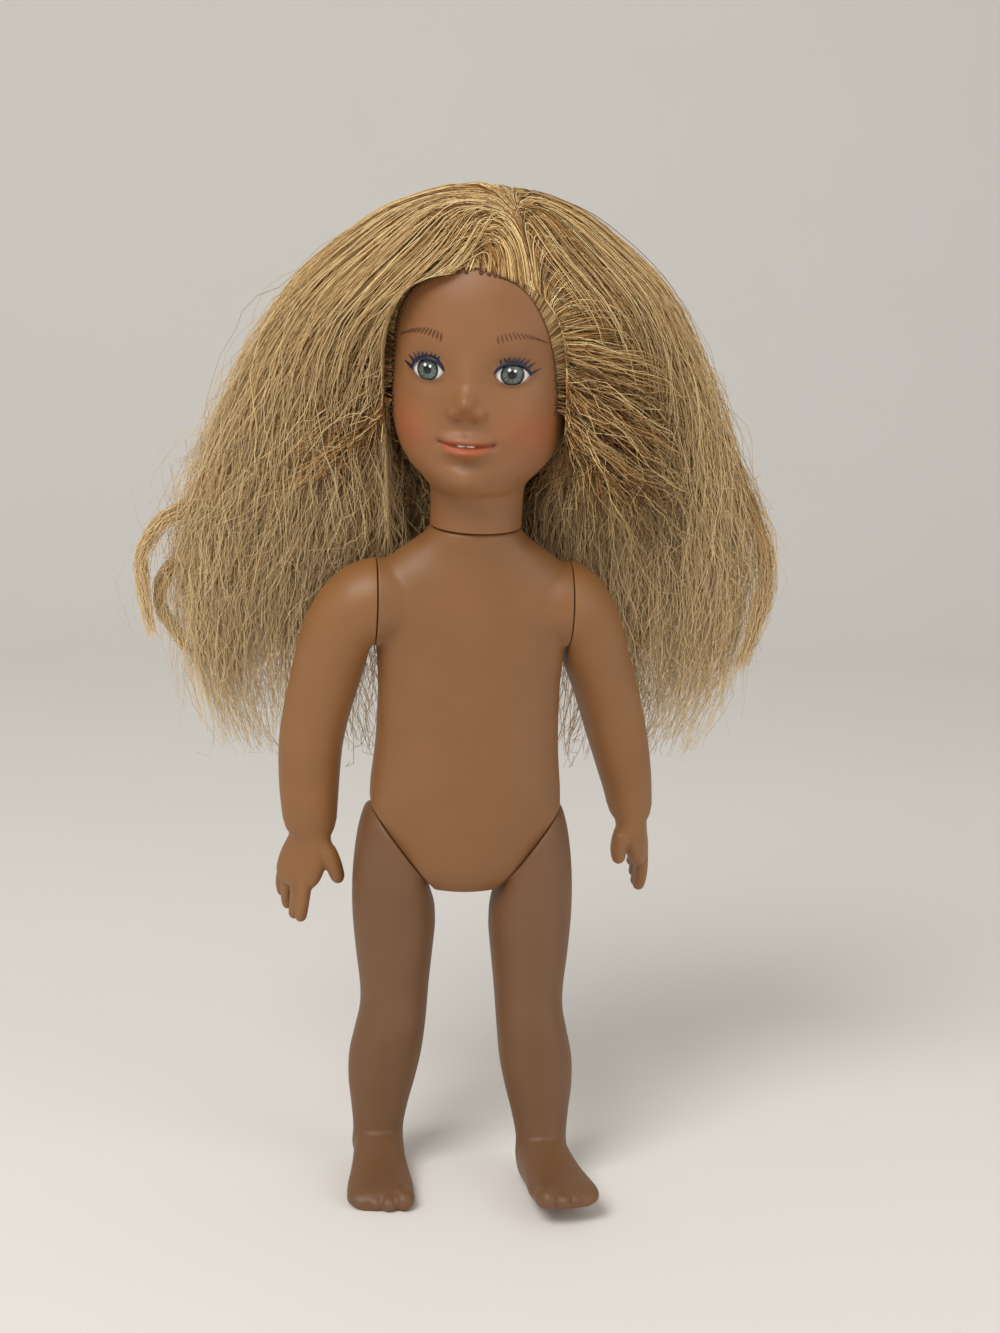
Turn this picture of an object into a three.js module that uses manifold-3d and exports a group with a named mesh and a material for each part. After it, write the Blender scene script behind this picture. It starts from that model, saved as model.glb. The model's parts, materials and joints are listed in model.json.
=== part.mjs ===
// A miniature play doll of soft and hard vinyl, about 165 mm tall with its hair.
// The torso is two hard half shells. The head turns on a mushroom plug held between them,
// and each arm and leg snaps in on its own moulded flange. The eyes are pressed in and the hair is rooted.
// Millimetres and degrees. The doll faces -Y and stands on the floor at z = 0.
import * as THREE from "three";
import { mergeVertices } from "three/addons/utils/BufferGeometryUtils.js";
import Module from "manifold-3d";

const wasm = await Module();
wasm.setup();

// Driving sizes
const LEG_LENGTH = 57; // hip centre to sole
const LEG_WIDTH = 13.8; // across the thigh
const LEG_DEPTH = 15;
const HIP_TILT = 38; // how far the hip axle slopes below level
const HIP_HALF_SPACING = 10.15;
const FOOT_LENGTH = 25.2;
const FOOT_WIDTH = 11.2;
const FOOT_HEIGHT = 8;
const FOOT_HEEL_BACK = 5.8; // heel behind the ankle's centre
const FOOT_PITCH = 90; // turns the foot's sections upright
const TOE_RADIUS = 1.5;
const TOE_LENGTH = 2.3;
const TORSO_HEIGHT = 60.6; // crotch to neck seam
const TORSO_WIDTH = 31.2;
const TORSO_DEPTH = 18.2;
const TORSO_WALL = 1.6;
const CROTCH_BELOW_HIP = 7.4;
const SHOULDER_RADIUS = 7;
const SHOULDER_BELOW_NECK = 12.5;
const ARM_LENGTH = 40; // shoulder centre to wrist
const ARM_WIDTH = 11.4;
const HAND_LENGTH = 9.6; // wrist to the finger roots
const HAND_WIDTH = 8.6;
const FINGER_LENGTH = 5.8;
const FINGER_RADIUS = 1.12;
const HEAD_HEIGHT = 49.4; // neck seam to crown
const HEAD_WIDTH = 29.2;
const HEAD_DEPTH = 31;
const HEAD_WALL = 2;
const EAR_HEIGHT = 8.6;
const EAR_WIDTH = 4.8;
const EAR_THICKNESS = 2.4;
const EYE_WIDTH = 5.6;
const EYE_HEIGHT = 4.8;
const EYE_THICKNESS = 3.2;
const EYE_HALF_SPACING = 6.45;
const EYE_SINK = 0.35; // eye's middle under the hollow's surface
const STUB_RADIUS = 3.1; // the moulded axle of each limb
const FLANGE_RADIUS = 4.6;
const FLANGE_THICKNESS = 1;
const PLUG_KNOB_RADIUS = 4.9;
const PLUG_KNOB_HEIGHT = 2.6;
const HAIR_HALF_SPREAD = 50; // head's middle to the widest hair
const HAIR_DEPTH = 20; // neck axis to the back of the hair
const HAIR_LENGTH = 96; // top of the hair to its ends
const HAIR_LOFT = 4.6; // hair above the crown
const CAP_THICKNESS = 1.7; // combed hair on the scalp
const COMB_RELIEF = 0.22; // ridges of the combed hair
const COMB_RIDGES = 10;
const HAIR_THICKNESS = 4.2; // of the loose hair at its roots
const HAIR_LOCKS = 8; // locks from the face to the middle of the back
const HAIR_RELIEF = 1.5; // how far a lock stands out
const HAIR_TIP_NOTCH = 12; // between the tips of two locks
const HAIR_WAVE = 1.2;
const HAIR_SIDE_SHARE = 0.625; // of the way round to the back
const LINING_THICKNESS = 0.8; // knotted roots inside the scalp

// Clearances and overruns
const GAP = 0.3;
const CUT_SPAN = 420; // wider than the whole doll

// Pose in which the doll stands
const BODY_LEAN = 6; // forward, over the feet
const LEFT_LEG_FORWARD = 10;
const LEFT_ARM_BACK = 19;
const RIGHT_ARM_BACK = 9;
const HEAD_YAW = -14; // towards the doll's right
const RIGHT_HAND_TURN = 40; // thumb ahead, about the forearm
const LEFT_HAND_TURN = 82; // palm towards the thigh

// Places worked out from the sizes
const HIP_HEIGHT = LEG_LENGTH;
const CROTCH_HEIGHT = HIP_HEIGHT - CROTCH_BELOW_HIP;
const NECK_SEAM_HEIGHT = CROTCH_HEIGHT + TORSO_HEIGHT;
const SHOULDER_HEIGHT = NECK_SEAM_HEIGHT - SHOULDER_BELOW_NECK;
const SHOULDER_HALF_SPACING = TORSO_WIDTH / 2;

// Rows along and sides around each skin. The loose hair has its rows, and columns for each lock
const MESH = {
  torso: [20, 22],
  torsoInside: [9, 12],
  boss: 18,
  limb: [16, 14],
  foot: [10, 12],
  toe: [7, 5],
  palm: [6, 12],
  finger: [5, 6],
  head: [27, 30],
  headInside: [9, 14],
  eye: [12, 8],
  ear: [9, 7],
  cap: [12, 30],
  capInside: [12, 24],
  lining: [9, 14],
  curtain: 13,
  perLock: 2,
  curl: [9, 6],
  clearance: [12, 14],
  face: [20, 14],
  round: 16,
};

const rad = THREE.MathUtils.degToRad;

// Solids and geometry
function solidOf(geometry) {
  const bare = geometry.clone();
  for (const name of ["normal", "uv"]) bare.deleteAttribute(name);
  const merged = mergeVertices(bare, GAP / 1e4);
  const triVerts = new Uint32Array(merged.index.array);
  const make = () =>
    new wasm.Manifold(
      new wasm.Mesh({ numProp: 3, vertProperties: merged.attributes.position.array, triVerts }),
    );
  const solid = make();
  if (solid.volume() > 0) return solid;
  for (let i = 0; i < triVerts.length; i += 3)
    [triVerts[i + 1], triVerts[i + 2]] = [triVerts[i + 2], triVerts[i + 1]];
  return make();
}

function geometryOf(solid) {
  const mesh = solid.getMesh();
  const count = mesh.numProp;
  const points = new Float32Array(mesh.numVert * 3);
  for (let i = 0; i < mesh.numVert; i++)
    points.set(mesh.vertProperties.subarray(i * count, i * count + 3), i * 3);
  return new THREE.BufferGeometry()
    .setAttribute("position", new THREE.BufferAttribute(points, 3))
    .setIndex(new THREE.BufferAttribute(mesh.triVerts, 1));
}

const joined = (solids) => solids.reduce((a, b) => a.add(b));
const without = (solid, cutters) => cutters.reduce((a, b) => a.subtract(b), solid);

// The largest body that a cut leaves, without the slivers beside it.
function mainBody(solid) {
  const bodies = solid.decompose();
  return bodies.reduce((a, b) => (b.volume() > a.volume() ? b : a));
}

// A closed skin through rings of points, with a fan to a point at each end.
function skin(rings, firstPole, lastPole) {
  const around = rings[0].length;
  const points = rings.flat().concat([firstPole, lastPole]);
  const first = rings.length * around;
  const index = [];
  for (let r = 0; r + 1 < rings.length; r++)
    for (let k = 0; k < around; k++) {
      const a = r * around + k;
      const b = r * around + ((k + 1) % around);
      index.push(a, b, b + around, a, b + around, a + around);
    }
  for (let k = 0; k < around; k++) {
    const next = (k + 1) % around;
    const last = (rings.length - 1) * around;
    index.push(first, next, k, first + 1, last + k, last + next);
  }
  return new THREE.BufferGeometry().setFromPoints(points).setIndex(index);
}

// A row of a table at a fraction of its length, eased through its neighbours.
function rowAt(table, fraction) {
  const place = THREE.MathUtils.clamp(fraction, 0, 1) * (table.length - 1);
  const i = Math.min(Math.floor(place), table.length - 2);
  const t = place - i;
  const before = table[Math.max(i - 1, 0)];
  const after = table[Math.min(i + 2, table.length - 1)];
  return table[i].map((value, c) => {
    const end = table[i + 1][c];
    const slopeIn = (end - before[c]) / 2;
    const slopeOut = (after[c] - value) / 2;
    const t2 = t * t;
    const t3 = t2 * t;
    return (
      (2 * t3 - 3 * t2 + 1) * value +
      (t3 - 2 * t2 + t) * slopeIn +
      (3 * t2 - 2 * t3) * end +
      (t3 - t2) * slopeOut
    );
  });
}

const power = (value, exponent) => Math.sign(value) * Math.abs(value) ** exponent;

// One rounded section: its centre, half width, depth to the front and to the back, the tilt of its
// width out of level, the pitch of its depth, and its squareness (2 is an ellipse).
function sectionRing({ centre, half, front, back, tilt = 0, pitch = 0, square = 2 }, around) {
  const across = new THREE.Vector3(Math.cos(rad(tilt)), 0, Math.sin(rad(tilt)));
  const ahead = new THREE.Vector3(0, -Math.cos(rad(pitch)), Math.sin(rad(pitch)));
  return Array.from({ length: around }, (_, k) => {
    const angle = (2 * Math.PI * k) / around;
    const side = power(Math.cos(angle), 2 / square) * half;
    const fore = power(Math.sin(angle), 2 / square);
    const depth = fore > 0 ? fore * front : fore * back;
    return centre.clone().addScaledVector(across, side).addScaledVector(ahead, depth);
  });
}

// A skin through the sections that a function gives for each fraction of the way.
function sectionSkin(section, rows, around) {
  const rings = Array.from({ length: rows + 1 }, (_, r) => sectionRing(section(r / rows), around));
  return skin(rings, section(0).centre, section(1).centre);
}

// A round tapered finger or toe along points, with a rounded tip.
function fingerSkin(points, radiusAt, [rows, around]) {
  const path = new THREE.CatmullRomCurve3(points);
  const frames = path.computeFrenetFrames(rows, false);
  const rings = Array.from({ length: rows + 1 }, (_, r) =>
    Array.from({ length: around }, (_, k) => {
      const angle = (2 * Math.PI * k) / around;
      return path
        .getPointAt(r / rows)
        .addScaledVector(frames.normals[r], radiusAt(r / rows) * Math.cos(angle))
        .addScaledVector(frames.binormals[r], radiusAt(r / rows) * Math.sin(angle));
    }),
  );
  return skin(rings, points[0], points[points.length - 1]);
}

const tipTaper = (t, tip) => Math.sqrt(Math.max(1 - Math.max(t - 1 + tip, 0) ** 2 / tip ** 2, 0.02));

function ellipsoid(centre, radii, [around, rows]) {
  return new THREE.SphereGeometry(1, around, rows)
    .scale(radii.x, radii.y, radii.z)
    .translate(centre.x, centre.y, centre.z);
}

// A turned piece from radius and height pairs, its axis along the given direction from a point.
function turned(profile, point, direction, around = MESH.round) {
  const turn = new THREE.Quaternion().setFromUnitVectors(
    new THREE.Vector3(0, 1, 0),
    direction.clone().normalize(),
  );
  return new THREE.LatheGeometry(
    profile.map(([radius, height]) => new THREE.Vector2(radius, height)),
    around,
  )
    .applyQuaternion(turn)
    .translate(point.x, point.y, point.z);
}

// A block that fills everything beyond a plane, on the side that its normal points to.
function beyondPlane(point, normal) {
  const turn = new THREE.Quaternion().setFromUnitVectors(
    new THREE.Vector3(0, 0, 1),
    normal.clone().normalize(),
  );
  return new THREE.BoxGeometry(CUT_SPAN, CUT_SPAN, CUT_SPAN)
    .translate(0, 0, CUT_SPAN / 2)
    .applyQuaternion(turn)
    .translate(point.x, point.y, point.z);
}

const v3 = (x, y, z) => new THREE.Vector3(x, y, z);
const hipPoint = (side) => v3(side * HIP_HALF_SPACING, 0, HIP_HEIGHT);
const hipOutward = (side) => v3(side * Math.cos(rad(HIP_TILT)), 0, -Math.sin(rad(HIP_TILT)));
const leaning = (direction) => direction.clone().applyAxisAngle(v3(1, 0, 0), rad(BODY_LEAN));
const shoulderPoint = (side) => v3(side * SHOULDER_HALF_SPACING, 0, SHOULDER_HEIGHT);

// The moulded axle of a limb: a short stub through the torso's wall, with a flange inside it.
function flangedStub(direction) {
  const reach = GAP + TORSO_WALL + GAP;
  const inward = direction.clone().negate();
  return solidOf(
    turned(
      [
        [0, -TORSO_WALL],
        [STUB_RADIUS, -TORSO_WALL],
        [STUB_RADIUS, reach],
        [FLANGE_RADIUS, reach],
        [FLANGE_RADIUS, reach + FLANGE_THICKNESS],
        [0, reach + FLANGE_THICKNESS],
      ],
      v3(0, 0, 0),
      inward,
    ),
  );
}

// Torso, from crotch to neck seam: shares of its height, half width, and depth to front and back.
const torsoShares = [
  [0.0, 0.2, 0.19, 0.19, 2],
  [0.008, 0.5, 0.34, 0.34, 2],
  [0.035, 0.76, 0.42, 0.43, 2.1],
  [0.09, 0.95, 0.475, 0.475, 2.2],
  [0.16, 1.03, 0.5, 0.49, 2.25],
  [0.235, 1.03, 0.515, 0.49, 2.3],
  [0.31, 0.995, 0.51, 0.465, 2.3],
  [0.39, 0.965, 0.49, 0.435, 2.3],
  [0.48, 0.95, 0.46, 0.415, 2.3],
  [0.57, 0.95, 0.44, 0.41, 2.3],
  [0.66, 0.975, 0.435, 0.42, 2.3],
  [0.745, 1.02, 0.43, 0.42, 2.3],
  [0.82, 1.05, 0.41, 0.405, 2.25],
  [0.88, 1.0, 0.375, 0.38, 2.15],
  [0.92, 0.84, 0.35, 0.365, 2.05],
  [0.952, 0.67, 0.355, 0.37, 2],
  [0.978, 0.525, 0.385, 0.395, 2],
  [1.0, 0.47, 0.4, 0.4, 2],
];

function torsoSkin(grow, [rows, around]) {
  return sectionSkin(
    (t) => {
      const [up, width, front, back, square] = rowAt(torsoShares, t);
      const height = CROTCH_HEIGHT + up * TORSO_HEIGHT + (2 * t - 1) * grow;
      return {
        centre: v3(0, 0, height),
        half: (width * TORSO_WIDTH) / 2 + grow,
        front: front * TORSO_DEPTH + grow,
        back: back * TORSO_DEPTH + grow,
        square,
      };
    },
    rows,
    around,
  );
}

// The round boss at each shoulder, whose end is the seat of the arm.
function shoulderBoss(side, grow) {
  const radius = SHOULDER_RADIUS + grow;
  return turned(
    [
      [0, -SHOULDER_RADIUS * 1.5],
      [radius * 0.6, -SHOULDER_RADIUS * 1.35],
      [radius * 0.86, -SHOULDER_RADIUS * 0.9],
      [radius * 0.97, -SHOULDER_RADIUS * 0.4],
      [radius, grow],
      [0, grow],
    ],
    shoulderPoint(side),
    v3(side, 0, 0),
    MESH.boss,
  );
}

function torsoSolid(grow, mesh) {
  const sides = [-1, 1];
  const limit = SHOULDER_HALF_SPACING + grow;
  const cutters = sides.flatMap((side) => [
    beyondPlane(v3(side * limit, 0, 0), v3(side, 0, 0)),
    beyondPlane(hipPoint(side).addScaledVector(hipOutward(side), grow), hipOutward(side)),
  ]);
  const bosses = sides.map((side) => shoulderBoss(side, grow));
  const whole = joined([torsoSkin(grow, mesh), ...bosses].map(solidOf));
  return without(whole, cutters.map(solidOf));
}

function torsoHalves() {
  const outer = torsoSolid(0, MESH.torso);
  const inner = torsoSolid(-TORSO_WALL, MESH.torsoInside);
  const bore = STUB_RADIUS + GAP;
  const round = (point, direction) =>
    solidOf(
      turned(
        [
          [0, -TORSO_WALL * 2],
          [bore, -TORSO_WALL * 2],
          [bore, TORSO_WALL * 2],
          [0, TORSO_WALL * 2],
        ],
        point,
        direction,
      ),
    );
  const bores = [-1, 1].flatMap((side) => [
    round(shoulderPoint(side), v3(side, 0, 0)),
    round(hipPoint(side), hipOutward(side)),
  ]);
  bores.push(round(v3(0, 0, NECK_SEAM_HEIGHT), v3(0, 0, 1)));
  const shell = without(outer, [inner, ...bores]);
  return {
    front: shell.subtract(solidOf(beyondPlane(v3(0, -GAP / 2, 0), v3(0, 1, 0)))),
    back: shell.subtract(solidOf(beyondPlane(v3(0, GAP / 2, 0), v3(0, -1, 0)))),
  };
}

// The neck plug: a flange under the torso's collar, a stem, and a mushroom knob in the head.
function neckPlug() {
  const under = NECK_SEAM_HEIGHT - TORSO_WALL - GAP;
  const over = NECK_SEAM_HEIGHT + GAP + HEAD_WALL + GAP;
  return solidOf(
    turned(
      [
        [0, under - FLANGE_THICKNESS],
        [FLANGE_RADIUS, under - FLANGE_THICKNESS],
        [FLANGE_RADIUS, under],
        [STUB_RADIUS, under],
        [STUB_RADIUS, over],
        [PLUG_KNOB_RADIUS, over],
        [PLUG_KNOB_RADIUS * 0.94, over + PLUG_KNOB_HEIGHT * 0.45],
        [PLUG_KNOB_RADIUS * 0.66, over + PLUG_KNOB_HEIGHT * 0.85],
        [0, over + PLUG_KNOB_HEIGHT],
      ],
      v3(0, 0, 0),
      v3(0, 0, 1),
    ),
  );
}

// Leg, from the hip seat down: shares of leg width (out), depth (ahead) and length (down), then the
// half width, tilt, and depth to front and back.
const legShares = [
  [0.0, 0, 0.0, 0.605, 52, 0.553, 0.553, 2],
  [0.055, 0, 0.011, 0.61, 50, 0.556, 0.556, 2],
  [0.075, 0, 0.05, 0.6, 43, 0.548, 0.552, 2],
  [0.08, 0, 0.11, 0.565, 31, 0.525, 0.54, 2],
  [0.08, 0, 0.18, 0.525, 17, 0.495, 0.515, 2],
  [0.07, 0, 0.25, 0.495, 5, 0.475, 0.495, 2.05],
  [0.06, 0.005, 0.34, 0.455, 0, 0.44, 0.455, 2.1],
  [0.05, 0.01, 0.43, 0.415, 0, 0.4, 0.395, 2.1],
  [0.055, 0.015, 0.495, 0.405, 0, 0.4, 0.36, 2.1],
  [0.09, 0.015, 0.56, 0.42, 0, 0.4, 0.37, 2.15],
  [0.14, 0, 0.64, 0.435, 0, 0.365, 0.43, 2.1],
  [0.175, -0.01, 0.72, 0.405, 0, 0.325, 0.415, 2.05],
  [0.195, -0.015, 0.8, 0.345, 0, 0.29, 0.335, 2],
  [0.205, -0.005, 0.87, 0.305, 0, 0.28, 0.29, 2],
  [0.205, 0.0, 0.93, 0.31, 0, 0.3, 0.3, 2],
  [0.2, 0.0, 0.965, 0.24, 0, 0.22, 0.22, 2],
];

// Foot, from heel to toe: shares of its length, half width and height, the sideways drift, and how
// far the sole lifts.
const footShares = [
  [0.0, 0.14, 0.2, 0.0, 0.34],
  [0.02, 0.36, 0.5, 0.0, 0.24],
  [0.075, 0.58, 0.86, 0.0, 0.13],
  [0.17, 0.7, 1.08, 0.0, 0.02],
  [0.3, 0.75, 1.1, 0.0, 0],
  [0.43, 0.79, 0.88, 0.01, 0],
  [0.57, 0.87, 0.66, 0.02, 0],
  [0.71, 0.96, 0.51, 0.03, 0],
  [0.83, 0.97, 0.43, 0.04, 0],
  [0.915, 0.86, 0.35, 0.05, 0],
  [0.96, 0.6, 0.24, 0.05, 0],
];

// The five toes, big toe first: shares of half the foot's width, of its length, and of the toe radius.
const toeShares = [
  [-0.66, 0.895, 1.28],
  [-0.22, 0.925, 0.96],
  [0.14, 0.905, 0.9],
  [0.46, 0.87, 0.84],
  [0.75, 0.82, 0.8],
];

const ankleOut = legShares[legShares.length - 1][0] * LEG_WIDTH;

// A right leg has its outward side at -X, so the left one is its mirror image.
function legSolid(side) {
  const leg = sectionSkin(
    (t) => {
      const [out, ahead, down, half, tilt, front, back, square] = rowAt(legShares, t);
      return {
        centre: v3(out * LEG_WIDTH, -ahead * LEG_DEPTH, -down * LEG_LENGTH),
        half: half * LEG_WIDTH,
        front: front * LEG_DEPTH,
        back: back * LEG_DEPTH,
        tilt,
        square,
      };
    },
    ...MESH.limb,
  );
  const foot = sectionSkin(
    (t) => {
      const [along, half, top, drift, lift] = rowAt(footShares, t);
      const tall = top * FOOT_HEIGHT;
      return {
        centre: v3(
          ankleOut + drift * FOOT_WIDTH,
          FOOT_HEEL_BACK - along * FOOT_LENGTH,
          lift * FOOT_HEIGHT + tall * 0.42 - LEG_LENGTH,
        ),
        half: (half * FOOT_WIDTH) / 2,
        front: tall * 0.58,
        back: tall * 0.58,
        pitch: FOOT_PITCH,
        square: 2.3,
      };
    },
    ...MESH.foot,
  );
  const toes = toeShares.map(([across, along, size]) =>
    ellipsoid(
      v3(
        ankleOut + ((across + 0.1) * FOOT_WIDTH) / 2,
        FOOT_HEEL_BACK - along * FOOT_LENGTH,
        -LEG_LENGTH + TOE_RADIUS * size * 0.8,
      ),
      v3(TOE_RADIUS * size, TOE_LENGTH * size, TOE_RADIUS * size),
      MESH.toe,
    ),
  );
  const floor = beyondPlane(v3(0, 0, -LEG_LENGTH), v3(0, 0, -1));
  const outward = leaning(hipOutward(1));
  const seat = beyondPlane(outward.clone().multiplyScalar(GAP), outward.clone().negate());
  const body = without(joined([leg, foot, ...toes].map(solidOf)), [seat, floor].map(solidOf));
  const whole = mainBody(body).add(flangedStub(outward));
  return side < 0 ? solidOf(geometryOf(whole).scale(-1, 1, 1)) : whole;
}

// Arms, from the shoulder seat to the palm: shares of arm width (out), of width (ahead), of arm
// length (down), then half width, tilt, and depth to front and back. The right arm bows outwards,
// and the left one slopes evenly.
const rightArmShares = [
  [0.0, 0, 0.0, 0.614, 90, 0.614, 0.614, 2],
  [0.1, 0, 0.008, 0.61, 83, 0.612, 0.612, 2],
  [0.26, 0, 0.035, 0.6, 70, 0.605, 0.605, 2],
  [0.41, 0, 0.09, 0.58, 55, 0.585, 0.585, 2],
  [0.53, 0, 0.17, 0.55, 40, 0.555, 0.56, 2],
  [0.62, 0, 0.265, 0.52, 28, 0.525, 0.535, 2],
  [0.7, 0, 0.38, 0.49, 18, 0.5, 0.515, 2],
  [0.785, 0, 0.5, 0.472, 11, 0.475, 0.485, 2.05],
  [0.85, 0.03, 0.63, 0.46, 5, 0.455, 0.45, 2.1],
  [0.865, 0.12, 0.77, 0.44, 0, 0.405, 0.405, 2.05],
  [0.855, 0.22, 0.895, 0.41, 0, 0.345, 0.35, 2],
  [0.835, 0.3, 1.0, 0.372, 0, 0.29, 0.295, 2],
];
const leftArmShares = [
  [0.0, 0, 0.0, 0.614, 90, 0.614, 0.614, 2],
  [0.07, 0, 0.01, 0.605, 80, 0.605, 0.605, 2],
  [0.18, 0, 0.045, 0.58, 66, 0.59, 0.59, 2],
  [0.29, 0, 0.105, 0.545, 50, 0.565, 0.57, 2],
  [0.4, 0, 0.185, 0.51, 36, 0.54, 0.55, 2],
  [0.52, 0, 0.285, 0.475, 26, 0.515, 0.53, 2],
  [0.66, 0, 0.4, 0.46, 20, 0.49, 0.505, 2],
  [0.79, 0.01, 0.515, 0.452, 15, 0.468, 0.48, 2.05],
  [0.925, 0.06, 0.64, 0.44, 10, 0.448, 0.44, 2.1],
  [1.06, 0.17, 0.78, 0.405, 6, 0.405, 0.4, 2.05],
  [1.16, 0.28, 0.9, 0.36, 2, 0.338, 0.348, 2],
  [1.22, 0.37, 1.0, 0.325, 0, 0.282, 0.288, 2],
];

// Palm: shares of hand width (out), of hand width (ahead) and hand length, half width, thickness.
const palmShares = [
  [0.0, 0.0, 0.0, 0.42, 0.33],
  [0.0, 0.05, 0.2, 0.44, 0.31],
  [0.03, 0.11, 0.42, 0.5, 0.285],
  [0.06, 0.18, 0.64, 0.52, 0.26],
  [0.09, 0.24, 0.84, 0.49, 0.23],
  [0.11, 0.28, 1.0, 0.38, 0.16],
];

// The fingers, index first: where each leaves the palm and where its tip is, across the hand and
// ahead as shares of hand width, with its length and thickness as shares of the finger's.
const openFingerShares = [
  [-0.26, 0.3, -0.24, 0.42, 1.0, 1.0],
  [-0.05, 0.26, -0.01, 0.32, 1.1, 1.0],
  [0.16, 0.21, 0.21, 0.2, 0.98, 0.96],
  [0.35, 0.16, 0.43, 0.08, 0.72, 0.9],
];
const closedFingerShares = [
  [-0.22, 0.3, -0.28, 0.33, 0.98, 1.02],
  [-0.04, 0.28, -0.09, 0.29, 1.08, 1.02],
  [0.14, 0.24, 0.1, 0.24, 1.0, 0.98],
  [0.3, 0.2, 0.26, 0.17, 0.78, 0.94],
];

// The thumb's root, middle and tip: across the hand, ahead and down as a share of hand length.
const openThumbShares = [
  [-0.26, 0.04, 0.16],
  [-0.54, -0.01, 0.46],
  [-0.68, -0.07, 0.86],
];
const closedThumbShares = [
  [-0.2, -0.02, 0.14],
  [-0.42, -0.16, 0.46],
  [-0.48, -0.1, 0.8],
];

const armTable = (side) => (side < 0 ? rightArmShares : leftArmShares);

function handSkins(side) {
  const fingerShares = side < 0 ? openFingerShares : closedFingerShares;
  const thumbShares = side < 0 ? openThumbShares : closedThumbShares;
  const turn = side < 0 ? RIGHT_HAND_TURN : LEFT_HAND_TURN;
  const [out, ahead] = armTable(side).at(-1);
  const wrist = v3(out * ARM_WIDTH, -ahead * ARM_WIDTH, -ARM_LENGTH);
  const inHand = (across, fore, down) =>
    wrist.clone().add(v3(across * HAND_WIDTH, -fore * HAND_WIDTH, -down));
  const palm = sectionSkin(
    (t) => {
      const [across, fore, down, half, thick] = rowAt(palmShares, t);
      return {
        centre: inHand(across, fore, down * HAND_LENGTH),
        half: half * HAND_WIDTH,
        front: thick * HAND_WIDTH,
        back: thick * HAND_WIDTH,
        square: 2.2,
      };
    },
    ...MESH.palm,
  );
  const palmEnd = palmShares[palmShares.length - 1][0];
  const fingers = fingerShares.map(([root, rootFore, tip, tipFore, length, size]) => {
    const radius = FINGER_RADIUS * size;
    const reach = FINGER_LENGTH * length;
    const start = HAND_LENGTH * 0.72;
    const middle = (root + tip) / 2 + 0.04 * Math.sign(root);
    return fingerSkin(
      [
        inHand(palmEnd + root, rootFore, start),
        inHand(palmEnd + middle, (rootFore + tipFore) / 2 + 0.05, HAND_LENGTH + reach * 0.35),
        inHand(palmEnd + tip, tipFore, HAND_LENGTH + reach),
      ],
      (t) => radius * (1.12 - 0.22 * t) * tipTaper(t, 0.16),
      MESH.finger,
    );
  });
  const thumb = fingerSkin(
    thumbShares.map(([across, fore, down]) => inHand(across, fore, down * HAND_LENGTH)),
    (t) => FINGER_RADIUS * (1.7 - 0.72 * t) * tipTaper(t, 0.17),
    MESH.finger,
  );
  return [palm, ...fingers, thumb].map((skin) =>
    skin
      .translate(-wrist.x, -wrist.y, 0)
      .rotateZ(rad(turn))
      .translate(wrist.x, wrist.y, 0),
  );
}

function armSkin(side, grow, mesh) {
  return sectionSkin(
    (t) => {
      const [out, ahead, down, half, tilt, front, back, square] = rowAt(armTable(side), t);
      return {
        centre: v3(out * ARM_WIDTH, -ahead * ARM_WIDTH, -down * ARM_LENGTH),
        half: half * ARM_WIDTH + grow,
        front: front * ARM_WIDTH + grow,
        back: back * ARM_WIDTH + grow,
        tilt,
        square,
      };
    },
    ...mesh,
  );
}

function armSolid(side) {
  const parts = [armSkin(side, 0, MESH.limb), ...handSkins(side)].map(solidOf);
  const seat = solidOf(beyondPlane(v3(GAP, 0, 0), v3(-1, 0, 0)));
  const whole = mainBody(joined(parts).subtract(seat)).add(flangedStub(v3(1, 0, 0)));
  return side < 0 ? solidOf(geometryOf(whole).scale(-1, 1, 1)) : whole;
}

// Head and neck, from seam to crown: shares of head height, half width, depth ahead and behind.
const headShares = [
  [0.0, 0.5, 0.235, 0.235, 2],
  [0.045, 0.498, 0.233, 0.239, 2],
  [0.09, 0.502, 0.24, 0.244, 2],
  [0.128, 0.512, 0.275, 0.25, 2],
  [0.142, 0.522, 0.35, 0.256, 1.95],
  [0.157, 0.55, 0.402, 0.264, 1.9],
  [0.184, 0.63, 0.432, 0.284, 1.9],
  [0.221, 0.745, 0.444, 0.312, 2],
  [0.271, 0.845, 0.452, 0.352, 2.1],
  [0.346, 0.918, 0.461, 0.408, 2.2],
  [0.431, 0.948, 0.465, 0.46, 2.25],
  [0.521, 0.965, 0.468, 0.498, 2.25],
  [0.615, 0.985, 0.478, 0.516, 2.2],
  [0.703, 1.0, 0.48, 0.518, 2.15],
  [0.785, 0.99, 0.455, 0.504, 2.1],
  [0.862, 0.915, 0.395, 0.456, 2],
  [0.923, 0.745, 0.3, 0.366, 2],
  [0.966, 0.5, 0.195, 0.254, 2],
  [0.992, 0.22, 0.085, 0.125, 2],
];

// The face: swellings and hollows, each with its place across and up, how far it stands out, and
// its spread across and up. Shares of head width, head height and head depth.
const faceShares = [
  [0, 0.446, 0.094, 0.06, 0.036], // tip of the nose
  [0, 0.516, 0.034, 0.054, 0.062], // bridge
  [0.076, 0.412, 0.034, 0.042, 0.024], // nostril wing
  [0.22, 0.534, -0.046, 0.105, 0.05], // eye hollow
  [0.2, 0.636, 0.01, 0.15, 0.04], // brow
  [0.27, 0.386, 0.028, 0.14, 0.08], // cheek
  [0, 0.33, 0.034, 0.13, 0.022], // upper lip
  [0, 0.288, 0.034, 0.11, 0.019], // lower lip
  [0, 0.248, -0.018, 0.12, 0.018], // under the lip
  [0, 0.197, 0.028, 0.12, 0.04], // chin
];

const bump = (distance, spread) => Math.exp(-(distance ** 2) / (2 * (spread / 1.5) ** 2));

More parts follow.
